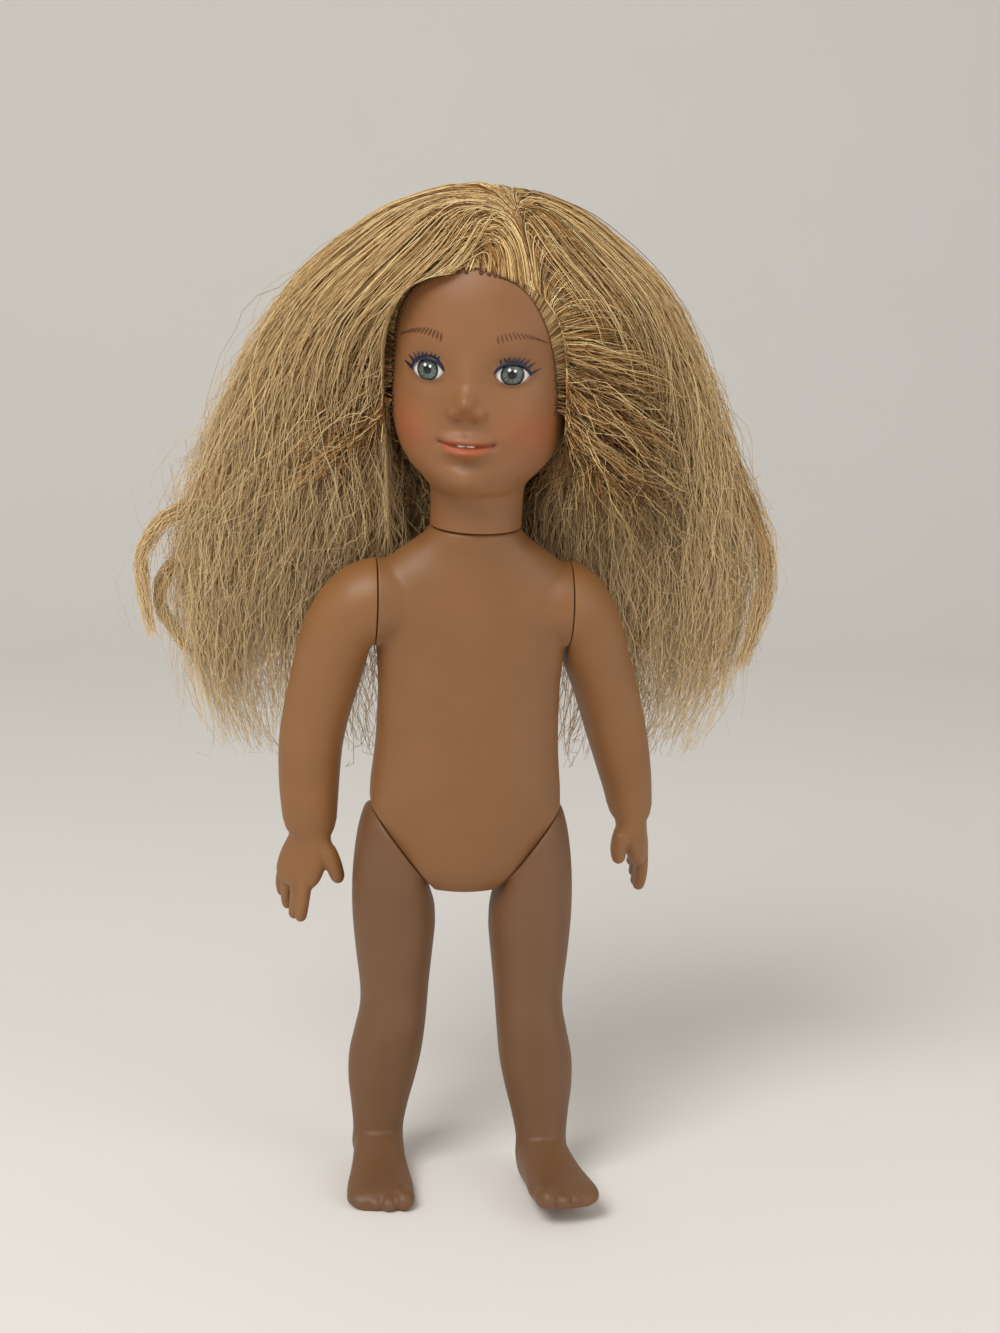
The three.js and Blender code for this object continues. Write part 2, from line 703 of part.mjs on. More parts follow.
// How far the face stands out of the plain head at a place across and up, in shares of depth.
function faceRelief(across, up) {
  return faceShares.reduce((sum, [x, z, depth, spreadX, spreadZ]) => {
    const reach = depth * bump(up - z, spreadZ);
    const near = bump(across - x, spreadX) + (x ? bump(across + x, spreadX) : 0);
    return sum + reach * near;
  }, 0);
}

function headSkin(grow, [rows, around], fromShare = 0, relief = 1) {
  const rings = Array.from({ length: rows + 1 }, (_, r) => {
    const t = fromShare + ((1 - fromShare) * r) / rows;
    const [up, width, front, back, square] = rowAt(headShares, t);
    const section = {
      centre: v3(0, 0, up * HEAD_HEIGHT + (t > 0.5 ? grow * (2 * t - 1) : 0)),
      half: (width * HEAD_WIDTH) / 2 + grow,
      front: front * HEAD_DEPTH + grow,
      back: back * HEAD_DEPTH + grow,
      square,
    };
    return sectionRing(section, around).map((p) => {
      const facing = THREE.MathUtils.smoothstep(-p.y / HEAD_DEPTH, 0.12, 0.34);
      const shape = faceRelief(p.x / HEAD_WIDTH, p.z / HEAD_HEIGHT);
      return p.add(v3(0, -shape * facing * relief * HEAD_DEPTH, 0));
    });
  });
  const low = rings[0].reduce((sum, p) => sum.add(p), v3(0, 0, 0)).divideScalar(around);
  const top = v3(0, 0.02 * HEAD_DEPTH, HEAD_HEIGHT + grow);
  return skin(rings, low, top);
}

const eyeUpShare = 0.534;

// The head's row at a height, given as a share of its own.
function headRowAtHeight(up) {
  let [low, high] = [0, 1];
  while (high - low > 1e-3) {
    const middle = (low + high) / 2;
    if (rowAt(headShares, middle)[0] < up) low = middle;
    else high = middle;
  }
  return rowAt(headShares, low);
}

// How far ahead of the neck's axis the face lies at a place across and up, in shares of depth.
function faceDepth(across, up) {
  const [, width, front, , square] = headRowAtHeight(up);
  const inside = Math.max(1 - Math.abs((2 * across) / width) ** square, 0);
  return front * inside ** (1 / square) + faceRelief(across, up);
}

// The eye's middle lies just under the surface of its hollow.
function eyePlace(side) {
  const surface = faceDepth(EYE_HALF_SPACING / HEAD_WIDTH, eyeUpShare) * HEAD_DEPTH;
  return v3(side * EYE_HALF_SPACING, EYE_SINK - surface, eyeUpShare * HEAD_HEIGHT);
}

const eyeSkin = (side, grow) =>
  ellipsoid(
    eyePlace(side),
    v3(EYE_WIDTH / 2 + grow, EYE_THICKNESS / 2 + grow, EYE_HEIGHT / 2 + grow),
    MESH.eye,
  );

function earSkins(side) {
  const place = v3(side * HEAD_WIDTH * 0.485, HEAD_DEPTH * 0.06, HEAD_HEIGHT * 0.43);
  const shell = ellipsoid(v3(0, 0, 0), v3(EAR_THICKNESS / 2, EAR_WIDTH / 2, EAR_HEIGHT / 2), MESH.ear);
  const bowl = ellipsoid(
    v3((side * EAR_THICKNESS) / 2, -EAR_WIDTH * 0.06, EAR_HEIGHT * 0.06),
    v3(EAR_THICKNESS / 3, EAR_WIDTH * 0.28, EAR_HEIGHT * 0.3),
    MESH.ear,
  );
  return [shell, bowl].map((g) =>
    g
      .rotateX(rad(-12))
      .rotateZ(rad(side * 24))
      .translate(place.x, place.y, place.z),
  );
}

// The room that hair leaves round the ears.
function earRooms() {
  const grow = 1 + (2 * GAP) / EAR_THICKNESS;
  return [-1, 1].map((side) => {
    const place = v3(side * HEAD_WIDTH * 0.485, HEAD_DEPTH * 0.06, HEAD_HEIGHT * 0.43);
    const room = earSkins(side)[0].translate(-place.x, -place.y, -place.z);
    return solidOf(room.scale(grow, grow, grow).translate(place.x, place.y, place.z));
  });
}

// The head in its own frame, with its origin at the middle of the neck seam.
function headSolid() {
  const outer = solidOf(headSkin(0, MESH.head));
  const cavity = solidOf(headSkin(-HEAD_WALL, MESH.headInside, 0.36, 0));
  const floor = GAP + HEAD_WALL;
  const knobRoom = turned(
    [
      [0, floor],
      [PLUG_KNOB_RADIUS + GAP, floor],
      [PLUG_KNOB_RADIUS + GAP, floor + PLUG_KNOB_HEIGHT + GAP * 2],
      [PLUG_KNOB_RADIUS * 0.7, HEAD_HEIGHT * 0.3],
      [0, HEAD_HEIGHT * 0.3],
    ],
    v3(0, 0, 0),
    v3(0, 0, 1),
  );
  const bore = turned(
    [
      [0, -floor],
      [STUB_RADIUS + GAP, -floor],
      [STUB_RADIUS + GAP, floor * 2],
      [0, floor * 2],
    ],
    v3(0, 0, 0),
    v3(0, 0, 1),
  );
  const seam = beyondPlane(v3(0, 0, GAP), v3(0, 0, -1));
  const ears = [-1, 1].map(earSkins);
  const solid = joined([outer, ...ears.map(([shell]) => solidOf(shell))]);
  const cutters = [knobRoom, bore, seam, ...ears.map(([, bowl]) => bowl)].map(solidOf);
  const sockets = [-1, 1].map((side) => solidOf(eyeSkin(side, GAP)));
  return mainBody(without(solid, [cavity, ...cutters, ...sockets]));
}

// What hair covers of the head: everything behind a curved front hairline.
function scalpRegion() {
  const middle = v3(0, -HEAD_DEPTH * 0.58, HEAD_HEIGHT * 0.435);
  const reach = v3(HEAD_WIDTH * 0.49, HEAD_DEPTH * 0.5, HEAD_HEIGHT * 0.385);
  const face = ellipsoid(middle, reach, MESH.face);
  const below = beyondPlane(v3(0, 0, HEAD_HEIGHT * 0.43), v3(0, -0.62, -1));
  return [face, below].map(solidOf);
}

// Hair combed flat over the scalp, ridged along the way it is combed from the parting.
function hairCap() {
  const plain = headSkin(CAP_THICKNESS, MESH.cap, 0.3, 0);
  const points = plain.getAttribute("position");
  for (let i = 0; i < points.count; i++) {
    const p = v3().fromBufferAttribute(points, i);
    const around = Math.atan2(p.x, -p.y);
    const swell = COMB_RELIEF * Math.cos(COMB_RIDGES * around);
    const level = Math.hypot(p.x, p.y);
    const reach = level > HEAD_WIDTH * 0.12 ? (level + swell) / level : 1;
    points.setXYZ(i, p.x * reach, p.y * reach, p.z);
  }
  const head = solidOf(headSkin(GAP * 2, MESH.capInside, 0.28, 1));
  return mainBody(without(solidOf(plain), [head, ...scalpRegion(), ...earRooms()]));
}

// The knotted and glued ends of the hair, matted inside the scalp.
function rootLining() {
  const outer = solidOf(headSkin(-HEAD_WALL - GAP * 2, MESH.lining, 0.36, 0));
  const inner = solidOf(headSkin(-HEAD_WALL - GAP * 2 - LINING_THICKNESS, MESH.lining, 0.36, 0));
  const below = solidOf(beyondPlane(v3(0, 0, HEAD_HEIGHT * 0.6), v3(0, -0.5, -1)));
  return mainBody(without(outer, [inner, below]));
}

// Loose hair, from the parting down: shares of the hair's length; of its half spread for the edge
// beside the face and for the outside; of its depth for that edge, the outside and the back.
const hairShares = [
  [0.0, 0.0, -0.42, 0.03, -0.1, 0.2],
  [0.02, 0.0, -0.5, 0.16, 0.0, 0.45],
  [0.05, 0.02, -0.58, 0.31, 0.06, 0.66],
  [0.1, 0.07, -0.62, 0.44, 0.12, 0.82],
  [0.16, 0.17, -0.6, 0.56, 0.18, 0.93],
  [0.23, 0.27, -0.42, 0.65, 0.24, 0.99],
  [0.31, 0.3, -0.2, 0.73, 0.3, 1.0],
  [0.4, 0.3, 0.0, 0.8, 0.38, 0.98],
  [0.5, 0.27, 0.16, 0.86, 0.46, 0.92],
  [0.6, 0.28, 0.36, 0.91, 0.56, 0.86],
  [0.7, 0.32, 0.46, 0.93, 0.64, 0.84],
  [0.8, 0.37, 0.52, 0.92, 0.68, 0.84],
  [0.9, 0.44, 0.58, 0.89, 0.72, 0.84],
  [1.0, 0.52, 0.62, 0.82, 0.74, 0.84],
];

// Stray locks. Each lies along points given as shares of the half spread, the depth and the length.
const curlShares = {
  curl_right_upper: {
    side: -1,
    path: [
      [0.84, 0.55, 0.56],
      [0.92, 0.58, 0.57],
      [1.0, 0.58, 0.595],
      [1.06, 0.58, 0.65],
      [1.05, 0.56, 0.72],
      [1.02, 0.54, 0.79],
    ],
    thick: 0.085,
  },
  curl_right_lower: {
    side: -1,
    path: [
      [0.88, 0.72, 0.64],
      [0.93, 0.72, 0.66],
      [0.99, 0.72, 0.7],
      [1.0, 0.72, 0.745],
      [0.96, 0.74, 0.785],
      [0.9, 0.76, 0.83],
    ],
    thick: 0.085,
  },
  curl_left_outer: {
    side: 1,
    path: [
      [0.86, 0.5, 0.45],
      [0.92, 0.54, 0.53],
      [0.99, 0.56, 0.61],
      [1.01, 0.56, 0.69],
      [0.98, 0.54, 0.77],
      [0.94, 0.52, 0.84],
    ],
    thick: 0.14,
  },
};

const hairTop = HEAD_HEIGHT + HAIR_LOFT;

// A point of the loose hair: round from the face (0) by the side to the back (1), down from the
// parting (0) to the tips (1), and in from the surface by a depth.
function hairPoint(side, round, down, depth) {
  const [fall, inner, front, outer, middle, back] = rowAt(hairShares, down);
  const ridge = Math.abs(Math.sin(Math.PI * HAIR_LOCKS * round));
  const out = HAIR_RELIEF * ridge * Math.min(down * 8, 1) - depth;
  const edge = inner * HAIR_HALF_SPREAD;
  const wide = outer * HAIR_HALF_SPREAD;
  const reach = wide + out * Math.min(1, wide / (2 * HAIR_THICKNESS));
  const mid = middle * HAIR_DEPTH;
  const angle = Math.PI * (round < 0.5 ? round : round - 0.5);
  const ahead = (mid - front * HAIR_DEPTH + out) * Math.cos(angle);
  const behind = (back * HAIR_DEPTH - mid + out) * Math.sin(angle);
  const [x, y] =
    round < 0.5
      ? [edge + (reach - edge) * Math.sin(angle), mid - ahead]
      : [reach * Math.cos(angle), mid + behind];
  const notch = HAIR_TIP_NOTCH * (1 - ridge) * Math.max(down - 0.7, 0) / 0.3;
  const under = depth * Math.max(1 - down * 5, 0);
  const wave = HAIR_WAVE * Math.sin(Math.PI * (3.4 * down + 2 * round)) * down;
  return v3(side * (x + wave), y, hairTop - fall * HAIR_LENGTH + notch - under);
}

// A closed slab between an outer and an inner grid of points.
function slab(outer, inner) {
  const rows = outer.length;
  const columns = outer[0].length;
  const points = [...outer.flat(), ...inner.flat()];
  const at = (layer, r, c) => layer * rows * columns + r * columns + c;
  const index = [];
  const quad = (a, b, c, d) => index.push(a, b, c, a, c, d);
  for (let r = 0; r + 1 < rows; r++)
    for (let c = 0; c + 1 < columns; c++) {
      quad(at(0, r, c), at(0, r, c + 1), at(0, r + 1, c + 1), at(0, r + 1, c));
      quad(at(1, r, c), at(1, r + 1, c), at(1, r + 1, c + 1), at(1, r, c + 1));
    }
  for (let r = 0; r + 1 < rows; r++) {
    const last = columns - 1;
    quad(at(0, r, 0), at(0, r + 1, 0), at(1, r + 1, 0), at(1, r, 0));
    quad(at(0, r, last), at(1, r, last), at(1, r + 1, last), at(0, r + 1, last));
  }
  for (let c = 0; c + 1 < columns; c++) {
    const last = rows - 1;
    quad(at(0, 0, c), at(1, 0, c), at(1, 0, c + 1), at(0, 0, c + 1));
    quad(at(0, last, c), at(0, last, c + 1), at(1, last, c + 1), at(1, last, c));
  }
  return new THREE.BufferGeometry().setFromPoints(points).setIndex(index);
}

// Rows of points down the hair at places round the head, given as [side, round], under its surface
// by one depth at the roots and another at the tips.
function hairGrid(places, rootDepth, tipDepth) {
  return Array.from({ length: MESH.curtain + 1 }, (_, r) => {
    const down = r / MESH.curtain;
    const depth = THREE.MathUtils.lerp(rootDepth, tipDepth, down);
    return places.map(([side, round]) => hairPoint(side, round, down, depth));
  });
}

const curtain = (places) =>
  slab(hairGrid(places, 0, 0), hairGrid(places, HAIR_THICKNESS, HAIR_THICKNESS * 0.3));

function curlSkin({ path, thick }, side) {
  const points = path.map(([out, behind, down]) =>
    v3(side * out * HAIR_HALF_SPREAD, behind * HAIR_DEPTH, hairTop - down * HAIR_LENGTH),
  );
  const radius = (t) => thick * HAIR_DEPTH * Math.min(1, (1.06 - t) * 2.2) ** 0.8;
  return fingerSkin(points, radius, MESH.curl);
}

// Everything that the loose hair lies clear of, in the frame of the neck seam.
function bodyClearance() {
  const torso = geometryOf(torsoSolid(GAP * 1.4, MESH.clearance)).translate(0, 0, -NECK_SEAM_HEIGHT);
  const arms = [
    [-1, RIGHT_ARM_BACK],
    [1, LEFT_ARM_BACK],
  ].map(([side, swing]) =>
    armSkin(side, GAP * 1.6, MESH.clearance)
      .scale(side, 1, 1)
      .rotateX(rad(swing))
      .translate(side * SHOULDER_HALF_SPACING, 0, -SHOULDER_BELOW_NECK),
  );
  return [torso, ...arms].map(solidOf);
}

function looseHair() {
  const head = solidOf(headSkin(GAP * 2, MESH.clearance, 0, 1));
  const cap = solidOf(headSkin(CAP_THICKNESS + COMB_RELIEF + GAP * 2, MESH.clearance, 0.3, 0));
  const clear = [head, cap, ...earRooms(), ...bodyClearance()];
  const seam = HAIR_SIDE_SHARE;
  const gapShare = GAP / HAIR_HALF_SPREAD;
  const spread = (from, to) => {
    const columns = Math.round(Math.abs(to - from) * HAIR_LOCKS * MESH.perLock);
    return Array.from({ length: columns + 1 }, (_, c) => from + ((to - from) * c) / columns);
  };
  const sidePlaces = (side) => spread(0, seam - gapShare).map((round) => [side, round]);
  const backPlaces = [
    ...spread(seam + gapShare, 1).map((round) => [-1, round]),
    ...spread(1, seam + gapShare).slice(1).map((round) => [1, round]),
  ];
  const made = (places) => mainBody(without(solidOf(curtain(places)), clear));
  const nodes = {
    hair_right: made(sidePlaces(-1)),
    hair_back: made(backPlaces),
    hair_left: made(sidePlaces(1)),
  };
  const filled = [-1, 1].map((side) => {
    const outer = hairGrid(sidePlaces(side), -GAP * 2, -GAP * 2);
    const inner = outer.map((row) => row.map((p) => v3(side * GAP, HAIR_DEPTH * 0.4, p.z)));
    return solidOf(slab(outer, inner));
  });
  for (const [name, curl] of Object.entries(curlShares))
    nodes[name] = mainBody(without(solidOf(curlSkin(curl, curl.side)), filled));
  return nodes;
}

// Materials
const skinVinyl = new THREE.MeshStandardMaterial({ color: 0xb07a52, roughness: 0.5, metalness: 0 });
const torsoVinyl = new THREE.MeshStandardMaterial({ color: 0xa8734c, roughness: 0.42, metalness: 0 });
const hairFibre = new THREE.MeshStandardMaterial({ color: 0xb08a4a, roughness: 0.45, metalness: 0 });
const eyeAcrylic = new THREE.MeshStandardMaterial({ color: 0xe9e6df, roughness: 0.1, metalness: 0 });
const plugNylon = new THREE.MeshStandardMaterial({ color: 0xd9d2c4, roughness: 0.4, metalness: 0 });

function meshOf(name, solid, material) {
  const mesh = new THREE.Mesh(geometryOf(solid), material);
  mesh.name = name;
  return mesh;
}

// Assembly
const doll = new THREE.Group();
const levelAxis = v3(1, 0, 0);

function limbGroup(parent, point, axis, angle, mesh) {
  const group = new THREE.Group();
  group.position.copy(point);
  group.quaternion.setFromAxisAngle(axis.clone().normalize(), rad(angle));
  group.add(mesh);
  parent.add(group);
}

// The upper body leans as one about the line through both hips.
const upperBody = new THREE.Group();
upperBody.position.z = HIP_HEIGHT;
upperBody.rotation.x = rad(BODY_LEAN);
doll.add(upperBody);
const upright = new THREE.Group();
upright.position.z = -HIP_HEIGHT;
upperBody.add(upright);

const { front, back } = torsoHalves();
upright.add(meshOf("torso_front", front, torsoVinyl));
upright.add(meshOf("torso_back", back, torsoVinyl));
upright.add(meshOf("neck_plug", neckPlug(), plugNylon));
for (const [name, side, swing] of [
  ["arm_right", -1, RIGHT_ARM_BACK],
  ["arm_left", 1, LEFT_ARM_BACK],
])
  limbGroup(upright, shoulderPoint(side), levelAxis, swing, meshOf(name, armSolid(side), skinVinyl));
for (const [name, side, swing] of [
  ["leg_right", -1, 0],
  ["leg_left", 1, -LEFT_LEG_FORWARD],
])
  limbGroup(doll, hipPoint(side), leaning(hipOutward(side)), swing, meshOf(name, legSolid(side), skinVinyl));

const head = new THREE.Group();
head.position.set(0, 0, NECK_SEAM_HEIGHT);
upright.add(head);
const turningHead = new THREE.Group();
turningHead.rotation.z = rad(HEAD_YAW);
head.add(turningHead);
turningHead.add(meshOf("head_shell", headSolid(), skinVinyl));
turningHead.add(meshOf("eye_right", solidOf(eyeSkin(-1, 0)), eyeAcrylic));
turningHead.add(meshOf("eye_left", solidOf(eyeSkin(1, 0)), eyeAcrylic));
turningHead.add(meshOf("root_lining", rootLining(), hairFibre));
turningHead.add(meshOf("hair_crown", hairCap(), hairFibre));
for (const [name, solid] of Object.entries(looseHair())) head.add(meshOf(name, solid, hairFibre));

// The origin is the middle of the doll's box, on the floor.
const part = new THREE.Group();
part.add(doll);
const box = new THREE.Box3().setFromObject(doll, true);
const middle = box.getCenter(v3(0, 0, 0));
doll.position.set(-middle.x, -middle.y, -box.min.z);

export default part;
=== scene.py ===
# %% [markdown]
# # A miniature vinyl play doll
#
# The doll is 164 mm tall. Its head and limbs are rotocast from soft vinyl, its torso is moulded in
# hard vinyl, its face is printed, and its long fibre hair is rooted in the head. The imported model
# gives the places and the joints. Here each visible part is made again with a finer surface, in
# millimetres, and then brought to metres.

import json
import math

import bmesh
import bpy
import numpy as np
from mathutils import Matrix, Vector


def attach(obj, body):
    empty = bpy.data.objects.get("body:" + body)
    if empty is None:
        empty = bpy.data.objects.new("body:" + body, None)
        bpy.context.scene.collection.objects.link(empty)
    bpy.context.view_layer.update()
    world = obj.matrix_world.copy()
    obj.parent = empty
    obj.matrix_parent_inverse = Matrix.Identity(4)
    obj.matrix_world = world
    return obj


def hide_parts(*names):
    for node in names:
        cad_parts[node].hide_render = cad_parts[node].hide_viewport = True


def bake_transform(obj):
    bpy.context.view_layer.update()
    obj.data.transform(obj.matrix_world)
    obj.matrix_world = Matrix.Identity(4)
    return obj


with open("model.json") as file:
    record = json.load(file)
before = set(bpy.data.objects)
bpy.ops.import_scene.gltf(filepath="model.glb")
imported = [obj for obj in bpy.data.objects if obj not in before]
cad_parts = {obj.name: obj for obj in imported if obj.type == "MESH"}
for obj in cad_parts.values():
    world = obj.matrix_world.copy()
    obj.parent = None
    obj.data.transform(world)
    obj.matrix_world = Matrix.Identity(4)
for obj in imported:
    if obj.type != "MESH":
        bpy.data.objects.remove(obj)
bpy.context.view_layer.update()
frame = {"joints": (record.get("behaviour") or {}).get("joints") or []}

# %% [markdown]
# The whole upper body leans a little ahead over the feet, as a unit about the hips. Its frame
# starts at the neck seam, so the lean is read from the neck joint's axis. The head is turned in
# that frame, and each arm and leg is swung about its own joint.

# %% Frames of the body, the head and the limbs
MM = 0.001
HEAD_TURN = math.radians(14)  # towards the doll's right
RIGHT_ARM_SWING, LEFT_ARM_SWING, LEFT_LEG_SWING = 9, 19, 10
joints = {joint["name"]: joint for joint in frame["joints"]}


def joint_place(name):
    return Vector(joints[name]["pos_m"]) / MM


neck_axis = Vector(joints["head_turn"]["axis"])
lean = math.atan2(-neck_axis.y, neck_axis.z)
upright = Matrix.Translation(joint_place("head_turn")) @ Matrix.Rotation(lean, 4, "X")
head_frame = upright @ Matrix.Rotation(-HEAD_TURN, 4, "Z")


def limb_frame(joint, side, angle, axis):
    """A limb's own frame at its joint; side is -1 on the doll's right, which mirrors it."""
    turn = Matrix.Rotation(math.radians(angle), 4, axis)
    return Matrix.Translation(joint_place(joint)) @ turn @ Matrix.Scale(side, 4, (1, 0, 0))


ACROSS = Vector((1, 0, 0))
lean_turn = Matrix.Rotation(lean, 4, "X")
arm_right_frame = limb_frame("shoulder_right", -1, RIGHT_ARM_SWING, ACROSS) @ lean_turn
arm_left_frame = limb_frame("shoulder_left", 1, LEFT_ARM_SWING, ACROSS) @ lean_turn
hip_axis = Vector(joints["hip_left"]["axis"])
leg_right_frame = limb_frame("hip_right", -1, 0, hip_axis)
leg_left_frame = limb_frame("hip_left", 1, LEFT_LEG_SWING, hip_axis)
print("lean, degrees:", round(math.degrees(lean), 2))

# %% [markdown]
# Every form of the doll is a run of rounded sections, so one helper wraps a flat grid round such a
# run. The grid's two long edges meet and are merged, and its first and last rows close to a point.
# The sections come from small tables of shares, eased from row to row as a lofted surface is.


# %% Sections and wrapped surfaces
def eased(table, share):
    """Rows of a table at shares of its length, eased through their neighbours."""
    table = np.array(table, float)
    place = np.clip(share, 0, 1) * (len(table) - 1)
    low = np.minimum(np.floor(place).astype(int), len(table) - 2)
    t = (place - low)[..., None]
    before, after = table[np.maximum(low - 1, 0)], table[np.minimum(low + 2, len(table) - 1)]
    start, end = table[low], table[low + 1]
    slope_in, slope_out = (end - before) / 2, (after - start) / 2
    return (
        (2 * t**3 - 3 * t**2 + 1) * start
        + (t**3 - 2 * t**2 + t) * slope_in
        + (3 * t**2 - 2 * t**3) * end
        + (t**3 - t**2) * slope_out
    )


def smooth(value, low, high):
    """0 below low, 1 above high, and an even rise between them."""
    t = np.clip((value - low) / (high - low), 0, 1)
    return t * t * (3 - 2 * t)


def bump(distance, spread):
    return np.exp(-(distance**2) / (2 * (spread / 1.5) ** 2))


def section(around, centre, half, front, back, tilt=0, pitch=0, square=2):
    """Points of rounded sections, whose width can be tilted and whose depth can be pitched."""
    angle = 2 * np.pi * around
    side = np.sign(np.cos(angle)) * np.abs(np.cos(angle)) ** (2 / square) * half
    fore = np.sign(np.sin(angle)) * np.abs(np.sin(angle)) ** (2 / square)
    depth = np.where(fore > 0, fore * front, fore * back)
    tilt, pitch = np.radians(tilt), np.radians(pitch)
    x = centre[0] + side * np.cos(tilt)
    y = centre[1] - depth * np.cos(pitch)
    z = centre[2] + side * np.sin(tilt) + depth * np.sin(pitch)
    return np.stack(np.broadcast_arrays(x, y, z), -1)


def grid_places(mesh):
    """The two places, from 0 to 1, of each vertex of a flat grid."""
    flat = np.empty(len(mesh.verts) * 3)
    for i, vertex in enumerate(mesh.verts):
        flat[3 * i : 3 * i + 3] = vertex.co
    return flat[0::3] + 0.5, flat[1::3] + 0.5


def set_places(form, places):
    for vertex, place in zip(form.verts, places):
        vertex.co = place


def wrapped(surface, around, rows):
    """A closed form: a grid wrapped round, whose end rows close to a point."""
    form = bmesh.new()
    bmesh.ops.create_grid(form, x_segments=around, y_segments=rows, size=0.5)
    u, v = grid_places(form)
    inner = np.clip((v * rows - 1) / (rows - 2), 0, 1)
    points = surface(u, inner)
    for end in (v * rows < 0.5, v * rows > rows - 0.5):
        points[end] = points[end].mean(0)
    set_places(form, points)
    bmesh.ops.remove_doubles(form, verts=form.verts, dist=0.001)
    bmesh.ops.recalc_face_normals(form, faces=form.faces)
    return form


def mesh_of(form, name):
    """The form becomes a mesh, and is freed."""
    mesh = bpy.data.meshes.new(name)
    form.to_mesh(mesh)
    form.free()
    return mesh


def joined(forms):
    """Several forms as one, without merging them."""
    whole = forms[0]
    for form in forms[1:]:
        spare = mesh_of(form, "spare")
        whole.from_mesh(spare)
        bpy.data.meshes.remove(spare)
    return whole


# %% [markdown]
# A finished piece keeps its place in its mesh, with its object at the origin, and is shaded smooth.
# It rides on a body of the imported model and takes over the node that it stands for.


# %% Finished pieces
def piece(name, form, place, material, body=None, nodes=()):
    """A form in millimetres and its own frame becomes an object of the doll, in metres."""
    form.transform(Matrix.Scale(MM, 4) @ place)
    if place.determinant() < 0:
        bmesh.ops.reverse_faces(form, faces=form.faces)
    for face in form.faces:
        face.smooth = True
    return finished(name, mesh_of(form, name), material, body, nodes)


def linked(name, data):
    thing = bpy.data.objects.new(name, data)
    bpy.context.scene.collection.objects.link(thing)
    return thing


def as_mesh(thing):
    """The mesh that an object's modifiers, or its curves, make."""
    graph = bpy.context.evaluated_depsgraph_get()
    return bpy.data.meshes.new_from_object(thing.evaluated_get(graph))


def finished(name, mesh, material, body, nodes):
    thing = linked(name, mesh)
    mesh.materials.append(material)
    if body:
        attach(thing, body)
    if nodes:
        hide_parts(*nodes)
    print(name, len(mesh.polygons), "faces")
    return thing


def welded(form, voxel, rounds):
    """Overlapping forms become one skin on a grid of small cells, and its steps are smoothed."""
    mesh = mesh_of(form, "weld")
    thing = linked("weld", mesh)
    cells = thing.modifiers.new("cells", "REMESH")
    cells.mode = "VOXEL"
    cells.voxel_size = voxel
    even = thing.modifiers.new("even", "SMOOTH")
    even.factor = 0.5
    even.iterations = rounds
    result = as_mesh(thing)
    whole = bmesh.new()
    whole.from_mesh(result)
    bpy.data.objects.remove(thing)
    for used in (mesh, result):
        bpy.data.meshes.remove(used)
    return whole


def relaxed(form, vertices, rounds, axes):
    """Evens out some of a form's vertices, along the axes that are named."""
    along = {"use_axis_" + axis: axis in axes for axis in "xyz"}
    for _ in range(rounds):
        bmesh.ops.smooth_vert(form, verts=vertices, factor=0.5, **along)


def trimmed(form, point, outward):
    """A flat seat is cut across a form, and the hole is closed."""
    everything = form.verts[:] + form.edges[:] + form.faces[:]
    cut = bmesh.ops.bisect_plane(
        form, geom=everything, dist=0.001, plane_co=point, plane_no=outward, clear_outer=True
    )
    rim = [e for e in cut["geom_cut"] if isinstance(e, bmesh.types.BMEdge)]
    bmesh.ops.holes_fill(form, edges=rim, sides=0)
    return form


# %% [markdown]
# Colours are written as sRGB hex values, as a paint chart gives them, and one function turns them
# to the linear values that shaders use. One more function adds a node with its settings and links.
# Most paints here are laid over each other: each layer covers the last one by a value that rises or
# falls between two limits.


# %% Colours and nodes
def linear(hex_colour):
    """An sRGB hex colour as linear red, green, blue and alpha."""
    parts = [int(hex_colour[i : i + 2], 16) / 255 for i in (1, 3, 5)]
    return [c / 12.92 if c <= 0.04045 else ((c + 0.055) / 1.055) ** 2.4 for c in parts] + [1.0]


def add_node(tree, kind, inputs=None, **settings):
    """Adds a node. Each input is a plain value, or the output of another node."""
    node = tree.nodes.new("ShaderNode" + kind)
    for name, value in settings.items():
        setattr(node, name, value)
    for key, value in (inputs or {}).items():
        if isinstance(value, bpy.types.NodeSocket):
            tree.links.new(value, node.inputs[key])
        else:
            node.inputs[key].default_value = value
    return node


def new_material(name, constants):
    """A material, its nodes and its shader, some of whose sockets get a constant."""
    material = bpy.data.materials.new(name)
    material.use_nodes = True
    shader = material.node_tree.nodes["Principled BSDF"]
    for socket, value in constants.items():
        shader.inputs[socket].default_value = value
    return material, material.node_tree, shader


def layered(tree, colour, layers):
    """Paints over a colour: for each, a value, its range, the cover at both ends and the paint."""
    for value, low, high, start, end, paint in layers:
        limits = {"From Min": low, "From Max": high, "To Min": start, "To Max": end}
        cover = add_node(tree, "MapRange", {"Value": value, **limits})
        inputs = {0: cover.outputs[0], 6: colour, 7: linear(paint)}
        colour = add_node(tree, "Mix", inputs, data_type="RGBA").outputs[2]
    return colour


def drifting(name, colour, other, size, roughness, detail=3.0):
    """A stuff whose colour drifts to another one and back over a size in millimetres."""
    material, tree, shader = new_material(name, {"Roughness": roughness})
    place = add_node(tree, "TexCoord").outputs["Object"]
    noise = {"Vector": place, "Scale": 1 / (size * MM), "Detail": detail}
    drift = add_node(tree, "TexNoise", noise).outputs["Fac"]
    tone = add_node(tree, "Mix", {0: drift, 6: colour, 7: other}, data_type="RGBA")
    tree.links.new(tone.outputs[2], shader.inputs["Base Color"])
    return material


# %% [markdown]
# Rotocast vinyl is a soft PVC, coloured all through. Its mould is blasted to a fine matt grain, so
# its highlights are broad and mild. The colour drifts a little where the wall is thinner. The
# face's blush and lips are sprayed on through a mask and have soft edges, so they are read from
# values that the mesh carries, and the same material serves the limbs, which carry none.


